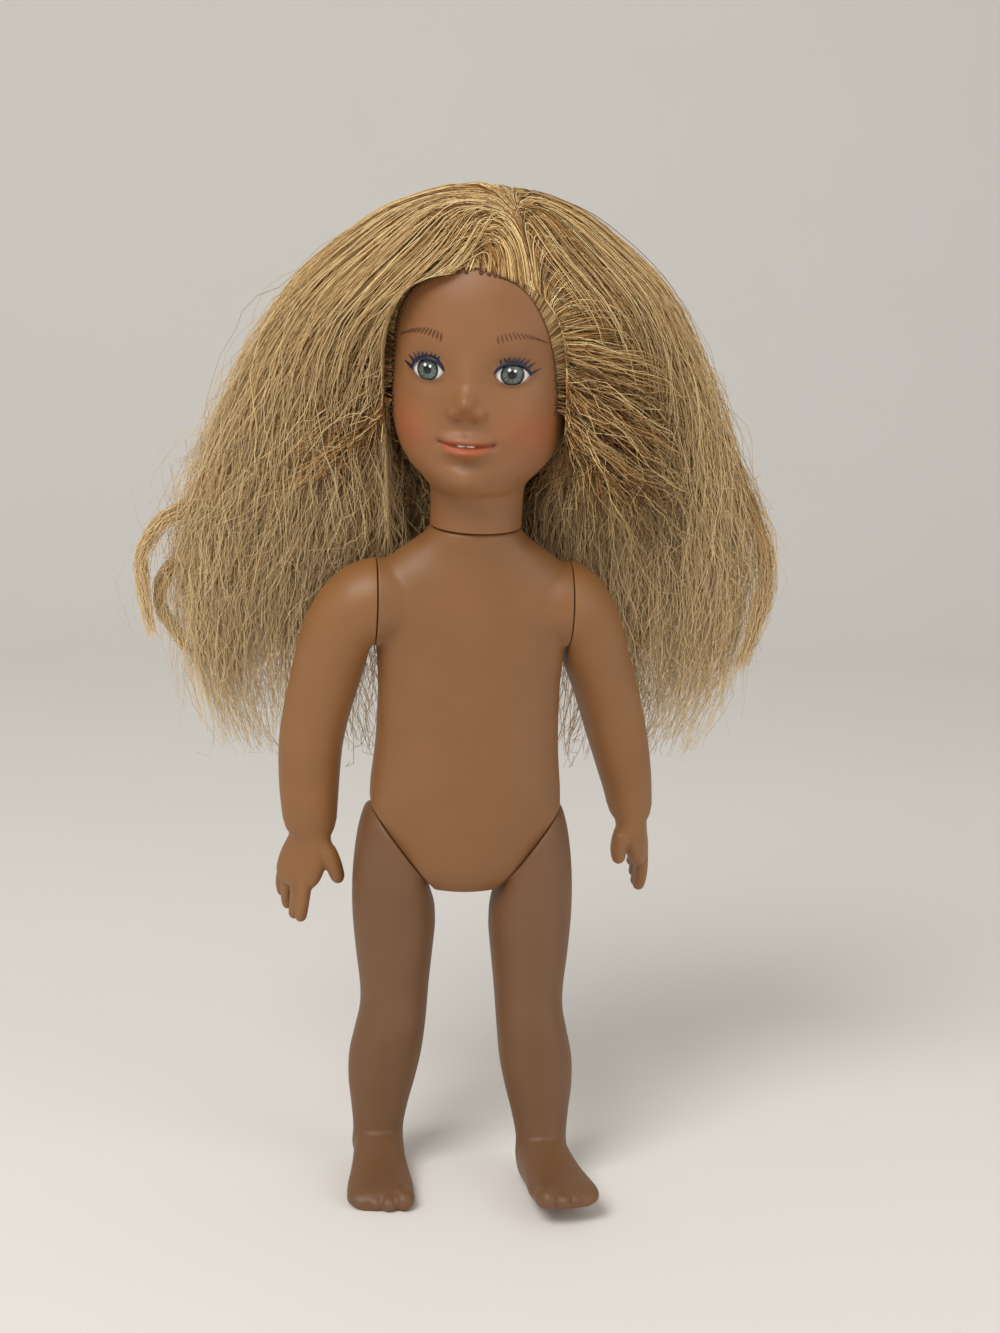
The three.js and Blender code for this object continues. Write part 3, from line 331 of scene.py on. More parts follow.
# %% Rotocast vinyl
def rotocast_vinyl(name, colour, warm, roughness):
    """Soft vinyl skin: a plain colour that drifts towards a warmer one, with a blasted grain."""
    constants = {"Roughness": roughness, "IOR": 1.53, "Subsurface Weight": 0.12}
    constants.update({"Subsurface Radius": (0.9, 0.45, 0.25), "Subsurface Scale": 1.2 * MM})
    material, tree, shader = new_material(name, constants)
    place = add_node(tree, "TexCoord").outputs["Object"]
    drift = add_node(tree, "TexNoise", {"Vector": place, "Scale": 1 / (9 * MM), "Detail": 2.0})
    layers = [(drift.outputs["Fac"], 0.35, 0.65, 0.0, 0.8, warm)]
    # The shade mask is painted shade at the nostrils, the lips' parting and the eye sockets, with a
    # printed liner at the lids' rim.
    for mask, tone in (("blush", "#BC5A34"), ("shade", "#5E3D2A"), ("lip", "#B4512F")):
        cover = add_node(tree, "Attribute", attribute_name=mask).outputs["Fac"]
        layers.append((cover, 0.0, 1.0, 0.0, 1.0, tone))
    tree.links.new(layered(tree, linear(colour), layers), shader.inputs["Base Color"])
    grain = add_node(tree, "TexNoise", {"Vector": place, "Scale": 1 / (0.35 * MM), "Detail": 3.0})
    relief = add_node(
        tree, "Bump", {"Height": grain.outputs["Fac"], "Strength": 0.25, "Distance": 0.03 * MM}
    )
    tree.links.new(relief.outputs["Normal"], shader.inputs["Normal"])
    return material


face_vinyl = rotocast_vinyl("rotocast_vinyl_head", "#8C5D35", "#94643B", 0.52)
limb_vinyl = rotocast_vinyl("rotocast_vinyl_limbs", "#8D5F33", "#946538", 0.5)
# The legs' vinyl is darker than the arms': partly its own colour, partly painted shade for the light
# that falls off lower down.
leg_vinyl_and_shade = rotocast_vinyl("rotocast_vinyl_legs_and_shade", "#714C2C", "#775131", 0.52)
torso_vinyl = rotocast_vinyl("moulded_hard_vinyl", "#865A32", "#8C5F36", 0.5)

# %% [markdown]
# The torso is a simple swell: narrow at the neck, broad at the shoulders and hips, with no waist to
# speak of. Two round bosses carry the arms. The swell and the bosses are welded into one skin,
# whose chest is evened out, and then the seats of the arms and legs are cut flat across it.

# %% Torso
TORSO_HEIGHT, TORSO_WIDTH, TORSO_DEPTH = 60.6, 31.2, 18.2
SHOULDER_DROP, SHOULDER_RADIUS = 12.5, 7
HIP_DROP, HIP_SPACING, HIP_TILT = 53.2, 10.15, 38
SEAT_GAP = 0.12
torso_shares = [
    (0.0, 0.2, 0.19, 0.19, 2),
    (0.008, 0.5, 0.34, 0.34, 2),
    (0.035, 0.76, 0.42, 0.43, 2.1),
    (0.09, 0.95, 0.475, 0.475, 2.2),
    (0.16, 1.03, 0.5, 0.49, 2.25),
    (0.235, 1.03, 0.515, 0.49, 2.3),
    (0.31, 0.995, 0.51, 0.465, 2.3),
    (0.39, 0.965, 0.49, 0.435, 2.3),
    (0.48, 0.95, 0.46, 0.415, 2.3),
    (0.57, 0.95, 0.44, 0.41, 2.3),
    (0.66, 0.975, 0.435, 0.42, 2.3),
    (0.745, 1.02, 0.43, 0.42, 2.3),
    (0.82, 1.05, 0.41, 0.405, 2.25),
    (0.88, 1.0, 0.375, 0.38, 2.15),
    (0.92, 0.84, 0.35, 0.365, 2.05),
    (0.952, 0.67, 0.355, 0.37, 2),
    (0.978, 0.525, 0.385, 0.395, 2),
    (1.0, 0.47, 0.4, 0.4, 2),
]


def torso_sections(share):
    """Height, half width, depth ahead and behind, and squareness, in the frame of the neck seam."""
    up, width, front, back, square = eased(torso_shares, share).T
    height = (up - 1) * TORSO_HEIGHT
    return height, width * TORSO_WIDTH / 2, front * TORSO_DEPTH, back * TORSO_DEPTH, square


def torso_surface(around, share):
    height, half, front, back, square = torso_sections(share)
    return section(around, (0, 0, height), half, front, back, square=square)


def shoulder_boss(side):
    """The round boss that carries an arm: it starts inside the chest and ends at the seat."""

    def surface(around, share):
        reach = side * (TORSO_WIDTH / 2 + 1 - 11.6 * (1 - share))
        radius = SHOULDER_RADIUS * np.sqrt(np.clip(1 - (1 - share) ** 2.6, 0, 1))
        angle = 2 * np.pi * around
        height = radius * np.cos(angle) - SHOULDER_DROP
        return np.stack(np.broadcast_arrays(reach, radius * np.sin(angle), height), -1)

    return wrapped(surface, 64, 24)


torso = joined([wrapped(torso_surface, 120, 120), shoulder_boss(-1), shoulder_boss(1)])
torso = welded(torso, 0.32, 14)
chest = [v for v in torso.verts if abs(v.co.x) < TORSO_WIDTH / 2 - 2.5]
relaxed(torso, chest, 60, "y")
tilt = math.radians(HIP_TILT)
for side in (-1, 1):
    arm_seat = Vector((side * (TORSO_WIDTH / 2 - SEAT_GAP), 0, 0))
    trimmed(torso, arm_seat, Vector((side, 0, 0)))
    outward = Vector((side * math.cos(tilt), 0, -math.sin(tilt)))
    trimmed(torso, Vector((side * HIP_SPACING, 0, -HIP_DROP)) - outward * SEAT_GAP, outward)
shells = ["torso_front", "torso_back"]
piece("torso_shell", torso, upright, torso_vinyl, "torso", shells)

# %% [markdown]
# A leg starts at a flat round seat that faces up and in, so that it can swing. Thigh, knee, calf
# and ankle are one run of sections, the foot is another from heel to toe, and the toes are short
# flattened balls. They are welded, which leaves the soft notches that a real mould leaves.

# %% Legs
LEG_LENGTH, LEG_WIDTH, LEG_DEPTH = 57, 13.8, 15
FOOT_LENGTH, FOOT_WIDTH, FOOT_HEIGHT, HEEL_BACK = 25.2, 11.2, 8, 5.8
TOE_RADIUS, TOE_LENGTH = 1.5, 2.3
leg_shares = [
    (0.0, 0, 0.0, 0.605, 52, 0.553, 0.553, 2),
    (0.055, 0, 0.011, 0.61, 50, 0.556, 0.556, 2),
    (0.075, 0, 0.05, 0.6, 43, 0.548, 0.552, 2),
    (0.08, 0, 0.11, 0.565, 31, 0.525, 0.54, 2),
    (0.08, 0, 0.18, 0.525, 17, 0.495, 0.515, 2),
    (0.07, 0, 0.25, 0.495, 5, 0.475, 0.495, 2.05),
    (0.06, 0.005, 0.34, 0.455, 0, 0.44, 0.455, 2.1),
    (0.05, 0.01, 0.43, 0.415, 0, 0.4, 0.395, 2.1),
    (0.055, 0.015, 0.495, 0.405, 0, 0.4, 0.36, 2.1),
    (0.09, 0.015, 0.56, 0.42, 0, 0.4, 0.37, 2.15),
    (0.14, 0, 0.64, 0.435, 0, 0.365, 0.43, 2.1),
    (0.175, -0.01, 0.72, 0.405, 0, 0.325, 0.415, 2.05),
    (0.195, -0.015, 0.8, 0.345, 0, 0.29, 0.335, 2),
    (0.205, -0.005, 0.87, 0.305, 0, 0.28, 0.29, 2),
    (0.205, 0.0, 0.93, 0.31, 0, 0.3, 0.3, 2),
    (0.2, 0.0, 0.965, 0.24, 0, 0.22, 0.22, 2),
]
foot_shares = [
    (0.0, 0.14, 0.2, 0.0, 0.34),
    (0.02, 0.36, 0.5, 0.0, 0.24),
    (0.075, 0.58, 0.86, 0.0, 0.13),
    (0.17, 0.7, 1.08, 0.0, 0.02),
    (0.3, 0.75, 1.1, 0.0, 0),
    (0.43, 0.79, 0.88, 0.01, 0),
    (0.57, 0.87, 0.66, 0.02, 0),
    (0.71, 0.96, 0.51, 0.03, 0),
    (0.83, 0.97, 0.43, 0.04, 0),
    (0.915, 0.86, 0.35, 0.05, 0),
    (0.96, 0.6, 0.24, 0.05, 0),
]
toe_shares = [
    (-0.66, 0.895, 1.28),
    (-0.22, 0.925, 0.96),
    (0.14, 0.905, 0.9),
    (0.46, 0.87, 0.84),
    (0.75, 0.82, 0.8),
]
ankle_out = leg_shares[-1][0] * LEG_WIDTH


def leg_surface(around, share):
    out, ahead, down, half, tilt, front, back, square = eased(leg_shares, share).T
    centre = (out * LEG_WIDTH, -ahead * LEG_DEPTH, -down * LEG_LENGTH)
    return section(
        around, centre, half * LEG_WIDTH, front * LEG_DEPTH, back * LEG_DEPTH, tilt, square=square
    )


def foot_surface(around, share):
    along, half, top, drift, lift = eased(foot_shares, share).T
    tall = top * FOOT_HEIGHT
    centre = (
        ankle_out + drift * FOOT_WIDTH,
        HEEL_BACK - along * FOOT_LENGTH,
        lift * FOOT_HEIGHT + tall * 0.42 - LEG_LENGTH,
    )
    return section(around, centre, half * FOOT_WIDTH / 2, tall * 0.58, tall * 0.58, 0, 90, 2.3)


def ball(centre, radii, around=24, rows=16):
    """A ball with three radii of its own."""
    form = bmesh.new()
    bmesh.ops.create_uvsphere(form, u_segments=around, v_segments=rows, radius=1)
    form.transform(Matrix.Translation(centre) @ Matrix.Diagonal((*radii, 1)))
    return form


def toes():
    return [
        ball(
            (
                ankle_out + (across + 0.1) * FOOT_WIDTH / 2,
                HEEL_BACK - along * FOOT_LENGTH,
                TOE_RADIUS * size * 0.8 - LEG_LENGTH,
            ),
            (TOE_RADIUS * size, TOE_LENGTH * size, TOE_RADIUS * size),
        )
        for across, along, size in toe_shares
    ]


hip_outward = Matrix.Rotation(lean, 3, "X") @ Vector((math.cos(tilt), 0, -math.sin(tilt)))


def leg(name, place, side):
    form = joined([wrapped(leg_surface, 96, 110), wrapped(foot_surface, 72, 60), *toes()])
    form = welded(form, 0.26, 7)
    trimmed(form, hip_outward * SEAT_GAP, -hip_outward)
    trimmed(form, Vector((0, 0, -LEG_LENGTH)), Vector((0, 0, -1)))
    piece(name + "_vinyl", form, place, leg_vinyl_and_shade, name, [name])


leg("leg_right", leg_right_frame, -1)
leg("leg_left", leg_left_frame, 1)

# %% [markdown]
# An arm starts at a round seat, bows outwards and ends in a small curved hand. Palm and fingers are
# separate forms that are welded to the arm, so that the skin between the fingers closes softly. The
# right hand's fingers are spread a little, and the left hand's are closed.

# %% Arms
ARM_LENGTH, ARM_WIDTH = 40, 11.4
HAND_LENGTH, HAND_WIDTH = 9.6, 8.6
FINGER_LENGTH, FINGER_RADIUS = 5.8, 1.12
RIGHT_HAND_TURN, LEFT_HAND_TURN = 40, 82
right_arm_shares = [
    (0.0, 0, 0.0, 0.614, 90, 0.614, 0.614, 2),
    (0.1, 0, 0.008, 0.61, 83, 0.612, 0.612, 2),
    (0.26, 0, 0.035, 0.6, 70, 0.605, 0.605, 2),
    (0.41, 0, 0.09, 0.58, 55, 0.585, 0.585, 2),
    (0.53, 0, 0.17, 0.55, 40, 0.555, 0.56, 2),
    (0.62, 0, 0.265, 0.52, 28, 0.525, 0.535, 2),
    (0.7, 0, 0.38, 0.49, 18, 0.5, 0.515, 2),
    (0.785, 0, 0.5, 0.472, 11, 0.475, 0.485, 2.05),
    (0.85, 0.03, 0.63, 0.46, 5, 0.455, 0.45, 2.1),
    (0.865, 0.12, 0.77, 0.44, 0, 0.405, 0.405, 2.05),
    (0.855, 0.22, 0.895, 0.41, 0, 0.345, 0.35, 2),
    (0.835, 0.3, 1.0, 0.372, 0, 0.29, 0.295, 2),
]
left_arm_shares = [
    (0.0, 0, 0.0, 0.614, 90, 0.614, 0.614, 2),
    (0.07, 0, 0.01, 0.605, 80, 0.605, 0.605, 2),
    (0.18, 0, 0.045, 0.58, 66, 0.59, 0.59, 2),
    (0.29, 0, 0.105, 0.545, 50, 0.565, 0.57, 2),
    (0.4, 0, 0.185, 0.51, 36, 0.54, 0.55, 2),
    (0.52, 0, 0.285, 0.475, 26, 0.515, 0.53, 2),
    (0.66, 0, 0.4, 0.46, 20, 0.49, 0.505, 2),
    (0.79, 0.01, 0.515, 0.452, 15, 0.468, 0.48, 2.05),
    (0.925, 0.06, 0.64, 0.44, 10, 0.448, 0.44, 2.1),
    (1.06, 0.17, 0.78, 0.405, 6, 0.405, 0.4, 2.05),
    (1.16, 0.28, 0.9, 0.36, 2, 0.338, 0.348, 2),
    (1.22, 0.37, 1.0, 0.325, 0, 0.282, 0.288, 2),
]
palm_shares = [
    (0.0, 0.0, 0.0, 0.42, 0.33),
    (0.0, 0.05, 0.2, 0.44, 0.31),
    (0.03, 0.11, 0.42, 0.5, 0.285),
    (0.06, 0.18, 0.64, 0.52, 0.26),
    (0.09, 0.24, 0.84, 0.49, 0.23),
    (0.11, 0.28, 1.0, 0.38, 0.16),
]
open_finger_shares = [
    (-0.26, 0.3, -0.24, 0.42, 1.0, 1.0),
    (-0.05, 0.26, -0.01, 0.32, 1.1, 1.0),
    (0.16, 0.21, 0.21, 0.2, 0.98, 0.96),
    (0.35, 0.16, 0.43, 0.08, 0.72, 0.9),
]
closed_finger_shares = [
    (-0.22, 0.3, -0.28, 0.33, 0.98, 1.02),
    (-0.04, 0.28, -0.09, 0.29, 1.08, 1.02),
    (0.14, 0.24, 0.1, 0.24, 1.0, 0.98),
    (0.3, 0.2, 0.26, 0.17, 0.78, 0.94),
]
open_thumb_shares = [(-0.26, 0.04, 0.16), (-0.54, -0.01, 0.46), (-0.68, -0.07, 0.86)]
closed_thumb_shares = [(-0.2, -0.02, 0.14), (-0.42, -0.16, 0.46), (-0.48, -0.1, 0.8)]


def arm_surface(table):
    def surface(around, share):
        out, ahead, down, half, tilt, front, back, square = eased(table, share).T
        centre = (out * ARM_WIDTH, -ahead * ARM_WIDTH, -down * ARM_LENGTH)
        half, front, back = half * ARM_WIDTH, front * ARM_WIDTH, back * ARM_WIDTH
        return section(around, centre, half, front, back, tilt, square=square)

    return surface


def in_hand(across, fore, down):
    """A point of the hand, whose origin is the wrist."""
    return np.array([across * HAND_WIDTH, -fore * HAND_WIDTH, -down])


def palm_surface(around, share):
    across, fore, down, half, thick = eased(palm_shares, share).T
    centre = (across * HAND_WIDTH, -fore * HAND_WIDTH, -down * HAND_LENGTH)
    thick = thick * HAND_WIDTH
    return section(around, centre, half * HAND_WIDTH, thick, thick, square=2.2)


def bent_tube(points, radius):
    """A tube through three points, whose radius is a function of the share along it."""
    first, middle, last = (np.array(p, float) for p in points)

    def surface(u, share):
        t = share[:, None]
        path = first * (1 - t) * (1 - 2 * t) + middle * 4 * t * (1 - t) + last * t * (2 * t - 1)
        along = first * (4 * t - 3) + middle * (4 - 8 * t) + last * (4 * t - 1)
        along = along / np.linalg.norm(along, axis=1)[:, None]
        across = np.cross(along, (0, 1, 0))
        across = across / np.linalg.norm(across, axis=1)[:, None]
        rise = np.cross(along, across)
        angle = (2 * np.pi * u)[:, None]
        return path + radius(t) * (np.cos(angle) * across + np.sin(angle) * rise)

    return wrapped(surface, 20, 26)


def rounded_tip(t, reach):
    return np.sqrt(np.clip(1 - np.clip(t - 1 + reach, 0, None) ** 2 / reach**2, 0.02, None))


def tapered_finger(points, start, taper, tip):
    def radius(t):
        return FINGER_RADIUS * (start - taper * t) * rounded_tip(t, tip)

    return bent_tube(points, radius)


def fingers(finger_shares, thumb_shares):
    forms = []
    palm_end = palm_shares[-1][0]
    for root, root_fore, tip, tip_fore, length, size in finger_shares:
        reach = FINGER_LENGTH * length
        middle = (root + tip) / 2 + 0.04 * np.sign(root)
        middle_fore = (root_fore + tip_fore) / 2 + 0.05
        points = (
            in_hand(palm_end + root, root_fore, HAND_LENGTH * 0.72),
            in_hand(palm_end + middle, middle_fore, HAND_LENGTH + reach * 0.35),
            in_hand(palm_end + tip, tip_fore, HAND_LENGTH + reach),
        )
        forms.append(tapered_finger(points, size * 1.12, size * 0.22, 0.16))
    thumb = [in_hand(across, fore, down * HAND_LENGTH) for across, fore, down in thumb_shares]
    forms.append(tapered_finger(thumb, 1.7, 0.72, 0.17))
    return forms


def arm(name, place, table, finger_shares, thumb_shares, hand_turn):
    out, ahead = table[-1][:2]
    wrist = Matrix.Translation((out * ARM_WIDTH, -ahead * ARM_WIDTH, -ARM_LENGTH))
    hand = joined([wrapped(palm_surface, 48, 30), *fingers(finger_shares, thumb_shares)])
    hand.transform(wrist @ Matrix.Rotation(math.radians(hand_turn), 4, "Z"))
    form = welded(joined([wrapped(arm_surface(table), 96, 100), hand]), 0.2, 6)
    near_wrist = [v for v in form.verts if abs(v.co.z + ARM_LENGTH) < 2]
    relaxed(form, near_wrist, 90, "xyz")
    trimmed(form, Vector((SEAT_GAP, 0, 0)), Vector((-1, 0, 0)))
    piece(name + "_vinyl", form, place, limb_vinyl, name, [name])


open_hand = (open_finger_shares, open_thumb_shares, RIGHT_HAND_TURN)
closed_hand = (closed_finger_shares, closed_thumb_shares, LEFT_HAND_TURN)
arm("arm_right", arm_right_frame, right_arm_shares, *open_hand)
arm("arm_left", arm_left_frame, left_arm_shares, *closed_hand)

# %% [markdown]
# The head, face and neck are one rotocast shell. The face is first a smooth egg, and its features
# are swellings and hollows that are added straight ahead: nose, brow, cheeks, lips and chin. The
# mesh is split finer where the face is, so that lids and lips have crisp edges.

# %% Head tables
HEAD_HEIGHT, HEAD_WIDTH, HEAD_DEPTH = 49.4, 29.2, 31
EYE_RADII = np.array([2.8, 1.6, 2.4])
EYE_SPACING, EYE_SINK = 6.45, 0.35
MOUTH_HEIGHT, MOUTH_HALF = 15.35, 4.15
head_shares = [
    (0.0, 0.5, 0.235, 0.235, 2),
    (0.045, 0.498, 0.233, 0.239, 2),
    (0.09, 0.502, 0.24, 0.244, 2),
    (0.128, 0.512, 0.275, 0.25, 2),
    (0.142, 0.522, 0.35, 0.256, 1.95),
    (0.157, 0.55, 0.402, 0.264, 1.9),
    (0.184, 0.63, 0.432, 0.284, 1.9),
    (0.221, 0.745, 0.444, 0.312, 2),
    (0.271, 0.845, 0.452, 0.352, 2.1),
    (0.346, 0.918, 0.461, 0.408, 2.2),
    (0.431, 0.948, 0.465, 0.46, 2.25),
    (0.521, 0.965, 0.468, 0.498, 2.25),
    (0.615, 0.985, 0.478, 0.516, 2.2),
    (0.703, 1.0, 0.48, 0.518, 2.15),
    (0.785, 0.99, 0.455, 0.504, 2.1),
    (0.862, 0.915, 0.395, 0.456, 2),
    (0.923, 0.745, 0.3, 0.366, 2),
    (0.966, 0.5, 0.195, 0.254, 2),
    (0.992, 0.22, 0.085, 0.125, 2),
]
face_shares = [
    (0, 0.446, 0.092, 0.072, 0.04),
    (0, 0.516, 0.026, 0.07, 0.06),
    (0.076, 0.412, 0.034, 0.042, 0.024),
    (0.22, 0.534, -0.046, 0.105, 0.05),
    (0.2, 0.636, 0.01, 0.15, 0.04),
    (0.27, 0.386, 0.028, 0.14, 0.08),
    (0, 0.33, 0.034, 0.13, 0.022),
    (0, 0.288, 0.034, 0.11, 0.019),
    (0, 0.248, -0.018, 0.12, 0.018),
    (0, 0.197, 0.028, 0.12, 0.04),
]
EYE_UP = 0.534
EYE_HALF, LID_RISE, LID_FALL = 2.62, 1.66, 1.5  # the opening between the lids, in mm

# %% [markdown]
# Where the face lies at a place across and up is asked for often: for the eyes, the teeth and the
# printed strokes of the brows and lashes. So the face is a function first and a mesh second.


# %% The face as a function
def head_row(up):
    """The head's row at heights, given as shares: half width, depths and squareness."""
    shares = np.linspace(0, 1, 800)
    rows = eased(head_shares, shares)
    return [np.interp(up, rows[:, 0], rows[:, c]) for c in range(1, 5)]


def face_relief(x, z):
    """How far, in mm, the features stand ahead of the egg."""
    across, up = x / HEAD_WIDTH, z / HEAD_HEIGHT
    total = np.zeros(np.broadcast(x, z).shape)
    for place, height, depth, spread_x, spread_z in face_shares:
        near = bump(across - place, spread_x) + (bump(across + place, spread_x) if place else 0)
        total = total + depth * bump(up - height, spread_z) * near
    return total * HEAD_DEPTH


def lip_line(x):
    return MOUTH_HEIGHT + 0.017 * x**2


def lip_width(x):
    return np.clip(1 - (np.abs(x) / MOUTH_HALF) ** 2, 0, 1)


def fine_relief(x, z):
    """Lips, their corners and parting, the groove under the nose, and the nostrils, in mm."""
    above = z - lip_line(x)
    wide = lip_width(x)
    upper = 0.3 * wide**0.5 * np.exp(-(((above - 0.6) / 0.5) ** 2))
    lower = 0.42 * wide**0.7 * np.exp(-(((above + 0.95) / 0.65) ** 2))
    line = -0.5 * smooth(4.7 - np.abs(x), 0, 0.8) * np.exp(-((above / 0.24) ** 2))
    corner = -0.35 * np.exp(-(((np.abs(x) - 4.25) ** 2 + above**2) / 0.75**2))
    groove = -0.14 * np.exp(-((x / 0.55) ** 2)) * np.exp(-(((z - 17.5) / 0.9) ** 2))
    nostril = -0.2 * np.exp(-(((np.abs(x) - 1.2) / 0.5) ** 2) - ((z - 19.0) / 0.36) ** 2)
    wing = -0.3 * np.exp(-(((np.abs(x) - 3.2) / 0.4) ** 2) - ((z - 19.9) / 0.9) ** 2)
    return upper + lower + line + corner + groove + nostril + wing


def plain_depth(x, z):
    """How far behind the face's front the egg lies at a place across and up: its y, in mm."""
    half, front, _, square = head_row(z / HEAD_HEIGHT)
    inside = np.clip(1 - np.abs(2 * x / (half * HEAD_WIDTH)) ** square, 0, 1)
    return -front * HEAD_DEPTH * inside ** (1 / square)


def eye_centre(side):
    x, z = side * EYE_SPACING, EYE_UP * HEAD_HEIGHT
    y = float(plain_depth(np.array(x), np.array(z)) - face_relief(np.array(x), np.array(z)))
    return np.array([x, y + EYE_SINK, z])


def lid_arch(across):
    return np.clip(1 - np.abs(across) ** 2.3, 0, 1) ** 0.75


def almond(x, z, centre):
    """Below 1 inside the opening between the lids, and rising through 1 at its rim."""
    across = (x - centre[0]) / EYE_HALF
    up = z - centre[2]
    reach = np.where(up > 0, LID_RISE, LID_FALL) * lid_arch(across)
    return np.maximum(np.abs(across), np.abs(up) / np.maximum(reach, 0.001))


def skin_slopes(centre):
    """How the skin falls back across and up at an eye, measured over the eye's own size."""
    step_x, step_z = 2.4, 2.0
    x = np.array([centre[0] - step_x, centre[0] + step_x, centre[0], centre[0]])
    z = np.array([centre[2], centre[2], centre[2] - step_z, centre[2] + step_z])
    y = plain_depth(x, z) - face_relief(x, z)
    return (y[1] - y[0]) / (2 * step_x), (y[3] - y[2]) / (2 * step_z)


def lid_depth(x, z, centre):
    """The y of the lids: a skin that hugs the eyeball a little way outside it."""
    radii = EYE_RADII + np.array([0.75, 0.14, 0.6])
    a = (x - centre[0]) / radii[0]
    b = (z - centre[2]) / radii[2]
    swell = np.clip(1 - a**2 - b**2, 0, 1)
    slope_x, slope_z = skin_slopes(centre)
    base = centre[1] + slope_x * (x - centre[0]) + slope_z * (z - centre[2])
    return base - radii[1] * np.sqrt(swell) + 2 * smooth(a**2 + b**2, 0.8, 1.1)


LID_BLEND = 0.2


def face_depth(x, z):
    """The y of the finished face without its eye openings, in the head's own frame."""
    x, z = np.asarray(x, float), np.asarray(z, float)
    y = plain_depth(x, z)
    facing = smooth(-y / HEAD_DEPTH, 0.12, 0.34)
    y = y - (face_relief(x, z) + fine_relief(x, z)) * facing
    for side in (-1, 1):
        centre = eye_centre(side)
        lid = lid_depth(x, z, centre)
        gap = y - lid
        soft = y - 0.5 * (gap + np.sqrt(gap**2 + LID_BLEND**2))
        reach = ((x - centre[0]) / 3.55) ** 2 + ((z - centre[2]) / 3.0) ** 2
        y = np.where((reach < 1.12) & (gap > -1.2), soft, y)
    return y


# %% [markdown]
# The head's shell is wrapped, and its front is split twice more. Then each vertex of the face is
# set on the face function, and inside the two almonds it is sunk behind the eyeballs. Values for
# blush, lips and shade go with the vertices, for the vinyl's material to read.


# %% Head
def head_surface(around, share):
    up, width, front, back, square = eased(head_shares, share).T
    centre = (0, 0, up * HEAD_HEIGHT)
    half = width * HEAD_WIDTH / 2
    return section(around, centre, half, front * HEAD_DEPTH, back * HEAD_DEPTH, square=square)


def vertex_places(form):
    return np.array([v.co for v in form.verts])


head = wrapped(head_surface, 150, 140)
crown = max(head.verts, key=lambda v: v.co.z)
crown.co = Vector((0, 0.02 * HEAD_DEPTH, HEAD_HEIGHT))
for reach, low, high in ((13.6, 5, 42), (12.4, 12, 31)):
    front = [
        e
        for e in head.edges
        if all(v.co.y < -3 and abs(v.co.x) < reach and low < v.co.z < high for v in e.verts)
    ]
    bmesh.ops.subdivide_edges(head, edges=front, cuts=1, use_grid_fill=True)
points = vertex_places(head)
facing = (points[:, 1] < -2) & (points[:, 2] > 4)
x, y, z = points[facing].T
egg = plain_depth(x, z)
shift = (face_depth(x, z) - egg) * smooth(-egg, 2.5, 5)
for side in (-1, 1):
    opening = almond(x, z, eye_centre(side))
    shift = shift + 1.5 * (1 - smooth(opening, 0.93, 1.03))
moved = points.copy()
moved[facing, 1] += shift
set_places(head, moved)
trimmed(head, Vector((0, 0, 0.3)), Vector((0, 0, -1)))


def ear(side):
    """An ear: a flat ball with a rim, a bowl and a lobe, set at the side of the head."""

    def surface(around, share):
        angle = 2 * np.pi * around
        lift = np.cos(np.pi * share)
        ring = np.sin(np.pi * share)
        y, z = ring * np.cos(angle), ring * np.sin(angle)
        bowl = 0.95 * np.exp(-((y + 0.1) ** 2 + (z - 0.12) ** 2) / 0.2) * (lift > 0)
        fold = 0.16 * np.exp(-((np.hypot(y, z) - 0.72) ** 2) / 0.012) * (lift > 0)
        out = lift * 1.15 + fold - bowl
        narrow = np.where(z < 0, 1 + 0.28 * z, 1)
        return np.stack([side * out, y * 2.4 * narrow, z * 4.3], -1)

    form = wrapped(surface, 48, 40)
    form.transform(
        Matrix.Translation((side * HEAD_WIDTH * 0.485, HEAD_DEPTH * 0.06, HEAD_HEIGHT * 0.43))
        @ Matrix.Rotation(math.radians(side * 24), 4, "Z")
        @ Matrix.Rotation(math.radians(-12), 4, "X")
    )
    return form


head = joined([head, ear(-1), ear(1)])
points = vertex_places(head)
head_piece = piece("head_vinyl", head, head_frame, face_vinyl, "head", ["head_shell"])

# %% [markdown]
# The blush is two soft spots on the cheeks, and the lips are sprayed through a mask. A darker tone
# at the nostrils, in the lips' parting and over the eye sockets is painted shade, and a thin dark
# line at the lids' rim is partly printed liner and partly painted shade. Both halves of the face get
# the same.


# %% Sprayed colour and painted shade on the face
def carry(mesh, name, values):
    """A value from 0 to 1 for each vertex of a mesh, which materials can read."""
    layer = mesh.attributes.new(name, "FLOAT", "POINT")
    layer.data.foreach_set("value", np.clip(values, 0, 1).astype(np.float32))


x, y, z = points.T
ahead = smooth(-y, 3, 7)
above = z - lip_line(x)
wide = lip_width(x)
cheek = np.exp(-(((np.abs(x) - 9.4) / 3.6) ** 2) - ((z - 17.2) / 3.6) ** 2)
nose = np.exp(-((x / 2.6) ** 2) - ((z - 20.6) / 1.6) ** 2)
carry(head_piece.data, "blush", ahead * (0.4 * cheek + 0.16 * nose))
upper = smooth(1.2 * wide**0.6 - above, -0.1, 0.25) * (above > 0) * smooth(wide, 0, 0.1)
lower = smooth(1.75 * wide**0.6 + above, -0.1, 0.35) * (above <= 0) * smooth(wide, 0, 0.1)
carry(head_piece.data, "lip", ahead * (0.4 * upper + 0.66 * lower))
